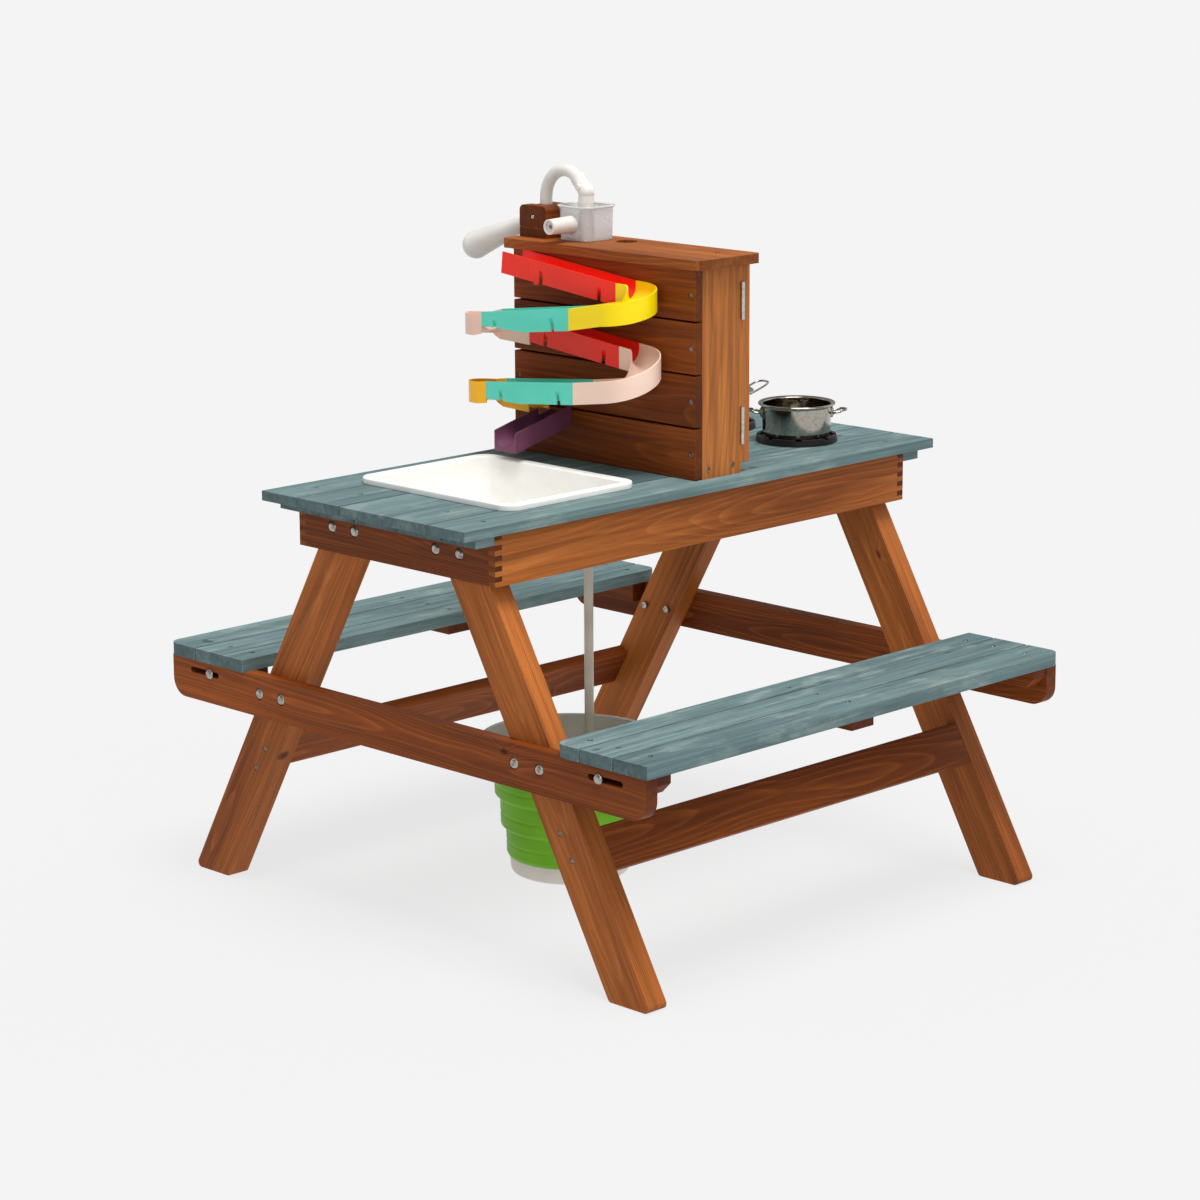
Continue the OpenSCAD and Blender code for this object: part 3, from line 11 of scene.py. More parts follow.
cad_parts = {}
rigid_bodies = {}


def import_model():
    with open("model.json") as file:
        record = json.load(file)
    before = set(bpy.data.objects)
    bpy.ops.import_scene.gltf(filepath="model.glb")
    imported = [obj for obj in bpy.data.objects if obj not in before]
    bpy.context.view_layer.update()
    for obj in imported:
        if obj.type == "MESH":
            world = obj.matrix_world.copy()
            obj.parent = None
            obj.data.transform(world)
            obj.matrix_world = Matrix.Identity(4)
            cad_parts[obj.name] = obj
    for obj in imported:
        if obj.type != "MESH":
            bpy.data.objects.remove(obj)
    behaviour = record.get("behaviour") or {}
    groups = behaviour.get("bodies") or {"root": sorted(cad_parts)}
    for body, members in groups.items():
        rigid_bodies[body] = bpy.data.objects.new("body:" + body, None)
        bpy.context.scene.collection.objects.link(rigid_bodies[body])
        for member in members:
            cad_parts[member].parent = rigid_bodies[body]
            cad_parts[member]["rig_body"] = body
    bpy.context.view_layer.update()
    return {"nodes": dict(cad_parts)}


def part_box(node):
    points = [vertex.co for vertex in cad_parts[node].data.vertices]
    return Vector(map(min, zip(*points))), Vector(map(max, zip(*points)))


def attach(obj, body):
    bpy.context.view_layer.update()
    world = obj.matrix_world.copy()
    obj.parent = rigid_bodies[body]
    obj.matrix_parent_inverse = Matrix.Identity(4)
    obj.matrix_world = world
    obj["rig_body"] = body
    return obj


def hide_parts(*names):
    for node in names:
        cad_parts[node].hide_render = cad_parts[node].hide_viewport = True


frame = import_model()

MM = 0.001
NODES = frame["nodes"]
scene = bpy.context.scene


# ---- Materials ----

def srgb(r, g, b):
    """A linear colour from 8-bit display values."""
    def channel(c):
        c = c / 255
        return c / 12.92 if c <= 0.04045 else ((c + 0.055) / 1.055) ** 2.4
    return (channel(r), channel(g), channel(b), 1.0)


class Graph:
    """A material's node tree, with short calls for the nodes used here."""

    def __init__(self, name):
        self.material = bpy.data.materials.new(name)
        self.material.use_nodes = True
        self.tree = self.material.node_tree
        self.shader = self.tree.nodes["Principled BSDF"]

    def put(self, socket, value):
        if isinstance(value, bpy.types.NodeSocket):
            self.tree.links.new(value, socket)
        else:
            socket.default_value = value

    def set(self, **values):
        for name, value in values.items():
            self.put(self.shader.inputs[name.replace("_", " ")], value)

    def node(self, kind):
        return self.tree.nodes.new("ShaderNode" + kind)

    def math(self, operation, *values):
        node = self.node("Math")
        node.operation = operation
        for socket, value in zip(node.inputs, values):
            self.put(socket, value)
        return node.outputs[0]

    def attribute(self, name):
        node = self.node("Attribute")
        node.attribute_name = name
        return node

    def place(self):
        return self.node("TexCoord").outputs["Object"]

    def split(self, vector):
        node = self.node("SeparateXYZ")
        self.put(node.inputs[0], vector)
        return node.outputs

    def join(self, x, y, z):
        node = self.node("CombineXYZ")
        for socket, value in zip(node.inputs, (x, y, z)):
            self.put(socket, value)
        return node.outputs[0]

    def stretched(self, parts, scales):
        """A vector whose parts are each multiplied by a scale."""
        return self.join(*[self.math("MULTIPLY", p, s) for p, s in zip(parts, scales)])

    def noise(self, vector, scale=1.0, detail=2.0, roughness=0.5):
        node = self.node("TexNoise")
        self.put(node.inputs["Vector"], vector)
        self.put(node.inputs["Scale"], scale)
        self.put(node.inputs["Detail"], detail)
        self.put(node.inputs["Roughness"], roughness)
        return node

    def ramp(self, value, stops):
        """A grey ramp through (position, level) stops."""
        node = self.node("ValToRGB")
        self.put(node.inputs[0], value)
        points = node.color_ramp.elements
        while len(points) < len(stops):
            points.new(0.5)
        for point, (position, level) in zip(points, stops):
            point.position = position
            point.color = (level, level, level, 1.0)
        return node.outputs[0]

    def mix(self, factor, a, b):
        node = self.node("Mix")
        node.data_type = "RGBA"
        self.put(node.inputs["Factor"], factor)
        self.put(node.inputs[6], a)
        self.put(node.inputs[7], b)
        return node.outputs[2]

    def brightness(self, colour, value):
        node = self.node("HueSaturation")
        self.put(node.inputs["Color"], colour)
        self.put(node.inputs["Value"], value)
        return node.outputs[0]

    def bump(self, height, strength, distance):
        node = self.node("Bump")
        self.put(node.inputs["Height"], height)
        node.inputs["Strength"].default_value = strength
        node.inputs["Distance"].default_value = distance
        self.put(self.shader.inputs["Normal"], node.outputs[0])


def wood(name, dark, mid, line, knot, worn, line_amount=0.6, patch=None, gloss=0.5):
    """Stained pine. The grain attribute holds a point's place along and across the
    board, measured from the pith, so every face cuts the same growth rings."""
    g = Graph(name)
    u, v, w = g.split(g.attribute("grain").outputs["Vector"])

    sway = g.split(g.noise(g.stretched((u, v, w), (2.6, 9, 9)), detail=1.5).outputs["Color"])
    v_bent = g.math("MULTIPLY_ADD", sway[0], 0.022, v)
    w_bent = g.math("MULTIPLY_ADD", sway[1], 0.022, w)
    radius = g.math("SQRT", g.math("ADD", g.math("POWER", v_bent, 2), g.math("POWER", w_bent, 2)))
    angle = g.math("ARCTAN2", w_bent, v_bent)

    cells = g.node("TexVoronoi")
    cells.voronoi_dimensions = "2D"
    g.put(cells.inputs["Vector"], g.stretched((u, angle, w), (3.0, 0.22, 0)))
    cells.inputs["Scale"].default_value = 1.0
    away = cells.outputs["Distance"]
    near = g.ramp(away, [(0.0, 1.0), (0.028, 0.55), (0.09, 0.12), (0.2, 0.0)])
    knot_mask = g.ramp(away, [(0.0, 1.0), (0.012, 0.95), (0.021, 0.55), (0.027, 0.0)])

    drift = g.noise(g.stretched((radius, u, angle), (70, 0.4, 0.5)), detail=2).outputs["Fac"]
    phase = g.math("ADD", g.math("MULTIPLY", radius, 380), g.math("MULTIPLY", drift, 2.4))
    phase = g.math("ADD", phase, g.math("MULTIPLY", near, 5.0))
    ring = g.ramp(g.math("FRACT", phase), [
        (0, 0), (0.5, 0.06), (0.78, 0.62), (0.9, 1), (0.97, 0.2), (1, 0),
    ])

    tone = g.noise(g.stretched((u, v, w), (1.6, 8, 8)), detail=3).outputs["Fac"]
    fibre = g.noise(g.stretched((u, v, w), (9, 620, 620)), detail=3, roughness=0.6).outputs["Fac"]
    streak = g.noise(g.stretched((u, v, w), (3, 120, 120)), detail=3, roughness=0.55).outputs["Fac"]
    pores = g.noise(g.stretched((u, v, w), (55, 1500, 1500)), detail=1).outputs["Fac"]
    pores = g.ramp(pores, [(0.0, 0.0), (0.64, 0.0), (0.76, 1.0)])

    colour = g.mix(g.ramp(tone, [(0.3, 0.0), (0.7, 1.0)]), dark, mid)
    if patch:
        spots = g.noise(g.stretched((u, v, w), (9, 26, 26)), detail=4, roughness=0.65).outputs["Fac"]
        colour = g.mix(g.ramp(spots, [(0.52, 0.0), (0.72, 0.8)]), colour, patch)
    fade = g.ramp(tone, [(0.25, 0.45), (0.75, 1.0)])
    lines = g.math("MULTIPLY", g.math("MULTIPLY", ring, fade), line_amount)
    colour = g.mix(lines, colour, line)
    shade = g.math("ADD", g.math("MULTIPLY", fibre, 0.9), g.math("MULTIPLY", streak, 1.3))
    colour = g.brightness(colour, g.math("ADD", shade, -0.1))
    colour = g.mix(g.math("MULTIPLY", pores, 0.3), colour, knot)
    colour = g.mix(g.math("MULTIPLY", knot_mask, 0.85), colour, knot)

    end = g.attribute("end_grain").outputs["Fac"]
    colour = g.mix(g.math("MULTIPLY", end, 0.45), colour, knot)
    rub = g.noise(g.stretched((u, v, w), (38, 90, 90)), detail=3).outputs["Fac"]
    rub = g.ramp(rub, [(0.35, 0.25), (0.62, 1.0)])
    wear = g.math("MULTIPLY", g.attribute("wear").outputs["Fac"], rub)
    colour = g.mix(g.math("MULTIPLY", wear, 0.5), colour, worn)

    g.set(Base_Color=colour, Roughness=g.ramp(fibre, [(0.3, gloss - 0.06), (0.7, gloss + 0.12)]))
    g.shader.inputs["Specular IOR Level"].default_value = 0.14
    relief = g.math("ADD", g.math("MULTIPLY", ring, 0.5), g.math("MULTIPLY", fibre, 0.8))
    g.bump(g.math("SUBTRACT", relief, pores), 0.35, 0.0004)
    return g.material


PLASTIC_IOR = 1.46


def plastic(name, colour, deep, roughness=0.38, subsurface=0.0, transmission=0.0):
    """Injection-moulded plastic: faint flow marks, a fine spark-eroded skin and scuffs."""
    g = Graph(name)
    x, y, z = g.split(g.place())
    flow = g.noise(g.stretched((x, y, z), (14, 14, 30)), detail=3).outputs["Fac"]
    skin = g.noise(g.place(), 2600, detail=1).outputs["Fac"]
    scuff = g.noise(g.stretched((x, y, z), (60, 60, 160)), detail=5, roughness=0.7).outputs["Fac"]
    shade = g.mix(g.ramp(flow, [(0.3, 0.0), (0.7, 1.0)]), deep, colour)
    g.set(Base_Color=shade)
    g.set(Roughness=g.ramp(scuff, [(0.3, roughness - 0.06), (0.7, roughness + 0.1)]))
    g.shader.inputs["IOR"].default_value = PLASTIC_IOR
    g.shader.inputs["Specular IOR Level"].default_value = 0.35
    g.shader.inputs["Transmission Weight"].default_value = transmission
    if subsurface:
        g.shader.inputs["Subsurface Weight"].default_value = subsurface
        g.shader.inputs["Subsurface Radius"].default_value = (1.0, 0.95, 0.9)
        g.shader.inputs["Subsurface Scale"].default_value = 0.004
    g.bump(skin, 0.06, 0.0002)
    return g.material


def metal(name, colour, stain, roughness, brush=None):
    """Bare metal with faint handling marks. brush stretches its polishing lines."""
    g = Graph(name)
    x, y, z = g.split(g.place())
    marks = g.noise(g.place(), 210, detail=4, roughness=0.6).outputs["Fac"]
    g.set(Base_Color=g.mix(g.ramp(marks, [(0.4, 0.0), (0.75, 1.0)]), colour, stain))
    g.shader.inputs["Metallic"].default_value = 1.0
    lines = g.noise(g.stretched((x, y, z), brush or (900, 900, 900)), detail=2).outputs["Fac"]
    g.set(Roughness=g.ramp(lines, [(0.25, roughness * 0.7), (0.75, roughness * 1.4)]))
    g.bump(lines, 0.12 if brush else 0.05, 0.0001)
    return g.material


PINE = wood(
    "stained_pine", srgb(86, 34, 7), srgb(134, 66, 20), srgb(172, 94, 36),
    srgb(42, 14, 3), srgb(196, 132, 84), line_amount=0.5,
)
PINE_LEG = wood(
    "brown_stained_pine", srgb(122, 62, 22), srgb(172, 98, 42), srgb(190, 116, 58),
    srgb(60, 24, 7), srgb(214, 156, 108), line_amount=0.5,
)
PINE_RED = wood(
    "dark_stained_pine", srgb(84, 34, 8), srgb(132, 64, 18), srgb(154, 84, 30),
    srgb(34, 12, 3), srgb(180, 112, 64), line_amount=0.5,
)
PINE_LIGHT = wood(
    "light_stained_pine", srgb(156, 92, 42), srgb(190, 120, 62), srgb(136, 74, 30),
    srgb(76, 34, 12), srgb(216, 160, 112), line_amount=0.75,
)
PINE_BLUE = wood(
    "blue_stained_pine", srgb(84, 105, 108), srgb(112, 134, 134), srgb(80, 99, 100),
    srgb(58, 70, 74), srgb(158, 176, 174), line_amount=0.5, patch=srgb(138, 154, 150), gloss=0.62,
)
MILKY = plastic("milky_plastic", srgb(226, 223, 217), srgb(212, 208, 201), 0.34, subsurface=0.35)
WHITE = plastic("white_plastic", srgb(246, 245, 241), srgb(238, 236, 231), 0.3, subsurface=0.12)
BUCKET_WHITE = plastic("bucket_plastic", srgb(218, 212, 202), srgb(204, 198, 188), 0.4, subsurface=0.2)
CLEAR = plastic("clear_plastic", srgb(250, 249, 248), srgb(244, 243, 244), 0.2, 0.2, transmission=0.55)
PIPE = plastic("pipe_plastic", srgb(206, 199, 184), srgb(190, 182, 166), 0.3, subsurface=0.2)
BLACK = plastic("black_plastic", srgb(34, 31, 29), srgb(24, 22, 21), 0.42)
SILICONE = plastic("green_silicone", srgb(112, 178, 8), srgb(98, 162, 6), 0.46, subsurface=0.1)
TRACK_COLOURS = {
    "red": plastic("red_plastic", srgb(250, 48, 26), srgb(242, 38, 18), 0.36, subsurface=0.1),
    "yellow": plastic("yellow_plastic", srgb(255, 226, 0), srgb(252, 214, 0), 0.34, subsurface=0.1),
    "teal": plastic("teal_plastic", srgb(98, 216, 194), srgb(86, 208, 184), 0.38, subsurface=0.1),
    # The pink entry is the peach plastic darkened a little with painted shade; both curves are one
    # plastic.
    "pink": plastic("pink_plastic", srgb(242, 204, 186), srgb(234, 194, 176), 0.4, subsurface=0.15),
    "peach": plastic("peach_plastic", srgb(248, 216, 198), srgb(242, 208, 190), 0.4, subsurface=0.15),
    # The orange entry is the yellow plastic darkened with painted shade, for the curve that lies in
    # shade.
    "orange": plastic("orange_plastic", srgb(255, 188, 4), srgb(250, 176, 2), 0.36, subsurface=0.1),
    "purple": plastic("purple_plastic", srgb(116, 66, 92), srgb(100, 54, 78), 0.34),
}
ZINC = metal("bolt_zinc", srgb(178, 173, 164), srgb(104, 97, 88), 0.15)
DARK_STEEL = metal("dark_screw_steel", srgb(150, 142, 134), srgb(62, 54, 48), 0.3)
HINGE_STEEL = metal("hinge_steel", srgb(206, 204, 200), srgb(160, 156, 150), 0.26)
PAN_STEEL = metal("pan_steel", srgb(172, 166, 157), srgb(150, 144, 134), 0.1, brush=(26, 26, 2400))


# ---- Mesh helpers ----

def islands(mesh):
    """The separate solids in a mesh, each a list of its vertices."""
    left = set(mesh.verts)
    found = []
    for start in mesh.verts:
        if start not in left:
            continue
        left.discard(start)
        group = [start]
        for vert in group:
            for edge in vert.link_edges:
                other = edge.other_vert(vert)
                if other in left:
                    left.discard(other)
                    group.append(other)
        found.append(group)
    return found


def cad_mesh(node):
    """A copy of a CAD node's mesh, its corners joined and its flat faces made whole."""
    mesh = bmesh.new()
    mesh.from_mesh(NODES[node].data)
    bmesh.ops.remove_doubles(mesh, verts=mesh.verts, dist=0.005 * MM)
    bmesh.ops.dissolve_limit(
        mesh, angle_limit=math.radians(0.4), use_dissolve_boundaries=False,
        verts=mesh.verts, edges=mesh.edges,
    )
    return mesh


SOFT_TURN = math.radians(30)


def soften(mesh, width, shortest):
    """Rounds the long outer edges and returns the new faces."""
    edges = [
        e for e in mesh.edges
        if len(e.link_faces) == 2 and e.calc_length() > shortest
        and e.is_convex and e.calc_face_angle(0) > SOFT_TURN
    ]
    made = bmesh.ops.bevel(
        mesh, geom=edges, offset=width, offset_type="OFFSET", segments=2,
        profile=0.5, affect="EDGES", clamp_overlap=True,
    )
    return set(made["faces"])


def finish_piece(name, mesh, node, material, sharp=45):
    """Makes an object of a mesh. It rides with the CAD node and stands for it."""
    data = bpy.data.meshes.new(name)
    bmesh.ops.recalc_face_normals(mesh, faces=mesh.faces)
    mesh.to_mesh(data)
    mesh.free()
    data.polygons.foreach_set("use_smooth", [True] * len(data.polygons))
    data.set_sharp_from_angle(angle=math.radians(sharp))
    data.materials.append(material)
    piece = bpy.data.objects.new(name, data)
    scene.collection.objects.link(piece)
    normals = piece.modifiers.new("even_normals", "WEIGHTED_NORMAL")
    normals.keep_sharp = True
    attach(piece, NODES[node]["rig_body"])
    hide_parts(node)
    return piece


def copied_piece(node, material, width, shortest, sharp):
    """A moulded or metal piece: the CAD shape with softened edges."""
    mesh = cad_mesh(node)
    soften(mesh, width, shortest)
    return finish_piece(node + "_look", mesh, node, material, sharp)


BOARD_EDGE = 3 * MM
GRAIN_NEAR = 0.1
END_FACING = 0.8


def board_axes(group):
    """A board's grain direction, from its longest edge, and its flat direction."""
    edges = dict.fromkeys(e for v in group for e in v.link_edges)
    longest = max(edges, key=lambda e: round(e.calc_length(), 5))
    along = (longest.verts[1].co - longest.verts[0].co).normalized()
    if along[max(range(3), key=lambda i: abs(along[i]))] < 0:
        along.negate()
    faces = dict.fromkeys(
        f for v in group for f in v.link_faces if abs(f.normal.dot(along)) < GRAIN_NEAR
    )
    flat = max(faces, key=lambda f: round(f.calc_area(), 7)).normal.copy()
    flat = (flat - along * flat.dot(along)).normalized()
    return along, flat.cross(along), flat


def wood_piece(node, material, width, seam):
    """A piece with boards in it. Each board gets its own stretch of grain. A seam is
    taken off each long side, so that the joint between two boards shows."""
    rng = random.Random(node + "0")
    mesh = cad_mesh(node)
    boards = []
    for group in islands(mesh):
        axes = board_axes(group)
        across = [v.co.dot(axes[1]) for v in group]
        centre = (min(across) + max(across)) / 2
        trim = 2 * seam / (max(across) - min(across))
        for vert, place in zip(group, across):
            vert.co -= axes[1] * (place - centre) * trim
        middle = sum((v.co for v in group), Vector()) / len(group)
        pith = Vector((
            rng.uniform(1, 40), rng.uniform(-0.016, 0.016),
            rng.choice((-1, 1)) * rng.uniform(0.03, 0.075),
        ))
        boards.append((axes, middle, pith, rng.uniform(-0.035, 0.035), rng.uniform(-0.02, 0.02)))
    mark = mesh.faces.layers.int.new("board")
    for number, group in enumerate(islands(mesh)):
        for vert in group:
            for face in vert.link_faces:
                face[mark] = number
    worn = soften(mesh, width, BOARD_EDGE)
    wear = mesh.faces.layers.float.new("wear")
    end = mesh.faces.layers.float.new("end_grain")
    grain_layer = mesh.verts.layers.float_vector.new("grain")
    for face in mesh.faces:
        (a, b, c), *others = boards[face[mark]]
        face[wear] = 1.0 if face in worn else 0.0
        face[end] = 1.0 if abs(face.normal.dot(a)) > END_FACING else 0.0
    for vert in mesh.verts:
        number = vert.link_faces[0][mark]
        (a, b, c), middle, pith, tilt, cross = boards[number]
        p = vert.co - middle
        u = p.dot(a)
        vert[grain_layer] = Vector((u, p.dot(b) + tilt * u, p.dot(c) + cross * u)) + pith
    return finish_piece(node + "_wood", mesh, node, material)


def arc_corner(before, corner, after, radius, steps):
    """The points of an arc that rounds one corner of an outline."""
    a = (before - corner).normalized()
    b = (after - corner).normalized()
    half = math.acos(max(-1, min(1, a.dot(b)))) / 2
    reach = min(
        radius / math.tan(half),
        (before - corner).length * 0.49, (after - corner).length * 0.49,
    )
    radius = reach * math.tan(half)
    centre = corner + (a + b).normalized() * (radius / math.sin(half))
    start = corner + a * reach - centre
    stop = corner + b * reach - centre
    turn = math.atan2(start.x * stop.y - start.y * stop.x, start.dot(stop))
    return [
        centre + Matrix.Rotation(turn * i / steps, 2) @ start
        for i in range(steps + 1)
    ]


def outline(corners, steps=6):
    """A closed 2-D outline from (x, y, corner radius) rows."""
    points = []
    for i, (x, y, radius) in enumerate(corners):
        here = Vector((x, y))
        before = Vector(corners[i - 1][:2])
        after = Vector(corners[(i + 1) % len(corners)][:2])
        if radius > 0:
            points += arc_corner(before, here, after, radius, steps)
        else:
            points.append(here)
    return points


def loft(mesh, rings, closed=False):
    """Joins rings of equal length into a skin."""
    rows = [[mesh.verts.new(p) for p in ring] for ring in rings]
    count = len(rows[0])
    for j in range(len(rows) if closed else len(rows) - 1):
        low = rows[j]
        high = rows[(j + 1) % len(rows)]
        for i in range(count):
            k = (i + 1) % count
            mesh.faces.new((low[i], low[k], high[k], high[i]))
    if not closed:
        for row in (rows[0], rows[-1]):
            mesh.faces.new(row)


def lathe(mesh, profile, place, segments):
    """Spins a closed (radius, height) outline round the Z of a placing matrix."""
    rings = []
    for i in range(segments):
        angle = 2 * math.pi * i / segments
        rings.append([
            place @ Vector((p.x * math.cos(angle), p.x * math.sin(angle), p.y)) for p in profile
        ])
    loft(mesh, rings, closed=True)


def tidy(mesh):
    """Joins points that meet on a lathe's axis and drops the slivers there."""
    bmesh.ops.remove_doubles(mesh, verts=mesh.verts, dist=0.002 * MM)
    bmesh.ops.dissolve_degenerate(mesh, edges=mesh.edges, dist=0.002 * MM)


def smooth_loop(points, steps):
    """A closed Catmull-Rom curve through given points."""
    points = [Vector(p) for p in points]
    last = len(points)
    path = []
    for i in range(last):
        a, b, c, d = (points[(i + k) % last] for k in (-1, 0, 1, 2))
        for s in range(steps):
            t = s / steps
            path.append(0.5 * (
                2 * b + (c - a) * t + (2 * a - 5 * b + 4 * c - d) * t * t
                + (3 * b - a - 3 * c + d) * t ** 3
            ))
    return path


def tube(mesh, path, radius, place, sides=14):
    """A round wire or tube along a path."""
    rings = []
    side = None
    for i, point in enumerate(path):
        ahead = (path[min(i + 1, len(path) - 1)] - path[max(i - 1, 0)]).normalized()
        side = ahead.orthogonal() if side is None else side - ahead * side.dot(ahead)
        side.normalize()
        other = ahead.cross(side)
        rings.append([
            place @ (point + radius * (math.cos(a) * side + math.sin(a) * other))
            for a in (2 * math.pi * k / sides for k in range(sides))
        ])
    loft(mesh, rings)


def rounded_ring(centre, length, width, radius, z, steps=8):
    """A level ring with round corners."""
    ring = outline([
        (sx * length / 2, sy * width / 2, radius) for sx, sy in ((-1, -1), (1, -1), (1, 1), (-1, 1))
    ], steps)
    return [Vector((centre.x + p.x, centre.y + p.y, z)) for p in ring]


# ---- Wood ----

WOOD = {
    "leg_front_left": (PINE_LEG, 1.6), "leg_front_right": (PINE_LEG, 1.6),
    "leg_back_left": (PINE_LEG, 1.6), "leg_back_right": (PINE_LEG, 1.6),
    "seat_beam_left": (PINE, 1.6), "seat_beam_right": (PINE, 1.6),
    "rail_front": (PINE, 1.4), "rail_back": (PINE, 1.4),
    "apron_long_boards": (PINE_LEG, 0.35), "apron_end_boards": (PINE_RED, 0.35),
    "tower_front_boards": (PINE_RED, 1.2), "tower_top_board": (PINE_LEG, 1.6),
    "tower_side_boards": (PINE_LIGHT, 1.0), "door_front": (PINE_LIGHT, 0.9),
    "door_back": (PINE_LIGHT, 0.9), "pump_block": (PINE_RED, 1.0),
    "bench_front_cleats": (PINE, 1.0), "bench_back_cleats": (PINE, 1.0),
    "bench_front_planks": (PINE_BLUE, 1.8), "bench_back_planks": (PINE_BLUE, 1.8),
    "top_plank_1": (PINE_BLUE, 1.2), "top_plank_2": (PINE_BLUE, 1.2), "top_plank_3": (PINE_BLUE, 1.2),
    "top_plank_4": (PINE_BLUE, 1.2), "top_plank_5": (PINE_BLUE, 1.2),
}

SEAMS = {"bench_front_planks": 0.6, "bench_back_planks": 0.6, "tower_front_boards": 0.5,
         **{"top_plank_%d" % i: 0.6 for i in range(1, 6)}}

for node, (material, width) in WOOD.items():
    wood_piece(node, material, width * MM, seam=SEAMS.get(node, 0) * MM)


# ---- Water tracks ----

TRACK_W = 40 * MM
TRACK_T = 2 * MM
TRACK_H = 29.5 * MM
GROOVE_DEPTH = 25 * MM
GROOVE_R = TRACK_W / 2 - TRACK_T
JOIN_GAP = 0.2 * MM
BEND_STEPS = 48
BEND_EASE = 0.06

STRAIGHT = {
    "track_start": "red", "track_red_upper": "red", "track_red_lower": "red",
    "track_teal_upper": "teal", "track_teal_lower": "teal", "track_spout": "purple",
}


def track_section():
    """A hollow channel section in (across, up), from the middle of its top edge."""
    half = TRACK_W / 2
    centre = GROOVE_R - GROOVE_DEPTH
    turns = [math.pi * i / 20 for i in range(21)]
    groove = [Vector((-GROOVE_R * math.cos(a), centre - GROOVE_R * math.sin(a))) for a in turns]
    inside = half - TRACK_T
    meet = math.acos(inside / half)
    under = [
        Vector((half * math.cos(a), centre - half * math.sin(a)))
        for a in (meet + (math.pi - 2 * meet) * i / 20 for i in range(21))
    ]
    lip = 0.5 * MM
    left = outline([
        (-half, -TRACK_H, 0), (-half, 0, lip), (-GROOVE_R, 0, lip), (-GROOVE_R, centre, 0),
    ], 2)
    right = [Vector((-p.x, p.y)) for p in reversed(left)]
    return (left[:-1] + groove + right[1:] + [Vector((inside, -TRACK_H))] + under
            + [Vector((-inside, -TRACK_H))])


def end_height(node, high):
    """The place along Y and the top edge's height at one end of a straight track."""
    verts = [v.co for v in NODES[node].data.vertices]
    y = max(p.y for p in verts) if high else min(p.y for p in verts)
    return y, max(p.z for p in verts if abs(p.y - y) < 0.05 * MM)


def curved_track(node, colour, side, start, stop, drop_in, rise_out, drop_end=0.0, out_y=None):
    """A half turn from one lane to the other. start and stop name straight tracks."""
    low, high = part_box(node)
    reach = TRACK_W / 2 + (high.x - low.x - TRACK_W) / 2
    bend_r = (high.x - low.x - TRACK_W) / 2
    middle_x = (low.x + high.x) / 2
    y_mid = high.y - reach if side > 0 else low.y + reach
    from_s = 1 if side < 0 else -1
    y_in, z_in = end_height(start, side > 0)
    y_out, z_out = end_height(stop, side > 0) if stop else (out_y, z_in)
    y_in += side * JOIN_GAP
    y_out += side * JOIN_GAP if stop else 0
    z_end = z_out + drop_end
    z_bend_in = z_in + drop_in
    z_bend_out = z_out + rise_out
    frames = [(middle_x + from_s * bend_r, y_in, z_in, 0.0)]
    for i in range(BEND_STEPS + 1):
        t = i / BEND_STEPS
        a = math.pi * t
        z = z_bend_in + (z_bend_out - z_bend_in) * (t - BEND_EASE * math.sin(2 * math.pi * t))
        frames.append((
            middle_x + from_s * bend_r * math.cos(a), y_mid + side * bend_r * math.sin(a), z, a,
        ))
    frames.append((middle_x - from_s * bend_r, y_out, z_end, math.pi))
    section = track_section()
    mesh = bmesh.new()
    loft(mesh, [[
        Vector((
            x + p.x * math.cos(a) * from_s, y + p.x * math.sin(a) * side, z + p.y
        )) for p in section
    ] for x, y, z, a in frames])
    finish_piece(node + "_look", mesh, node, TRACK_COLOURS[colour], 40)


for node, colour in STRAIGHT.items():
    copied_piece(node, TRACK_COLOURS[colour], 0.4 * MM, 1.6 * MM, 35)

curved_track("track_curve_yellow", "yellow", -1, "track_red_upper", "track_teal_upper",
             -0.5 * MM, 11.5 * MM)
# This curve takes the peach plastic darkened with painted shade (the pink entry).
curved_track("track_curve_pink", "pink", 1, "track_teal_upper", "track_red_lower",
             -4 * MM, -2.5 * MM, -4.5 * MM)
curved_track("track_curve_peach", "peach", -1, "track_red_lower", "track_teal_lower",
             -2 * MM, 8.5 * MM)
# This curve takes the yellow plastic darkened with painted shade (the orange entry).
curved_track("track_curve_orange", "orange", 1, "track_teal_lower", None,
             -2.5 * MM, -13 * MM, -14.5 * MM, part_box("track_curve_orange")[0].y)


# ---- Basin ----

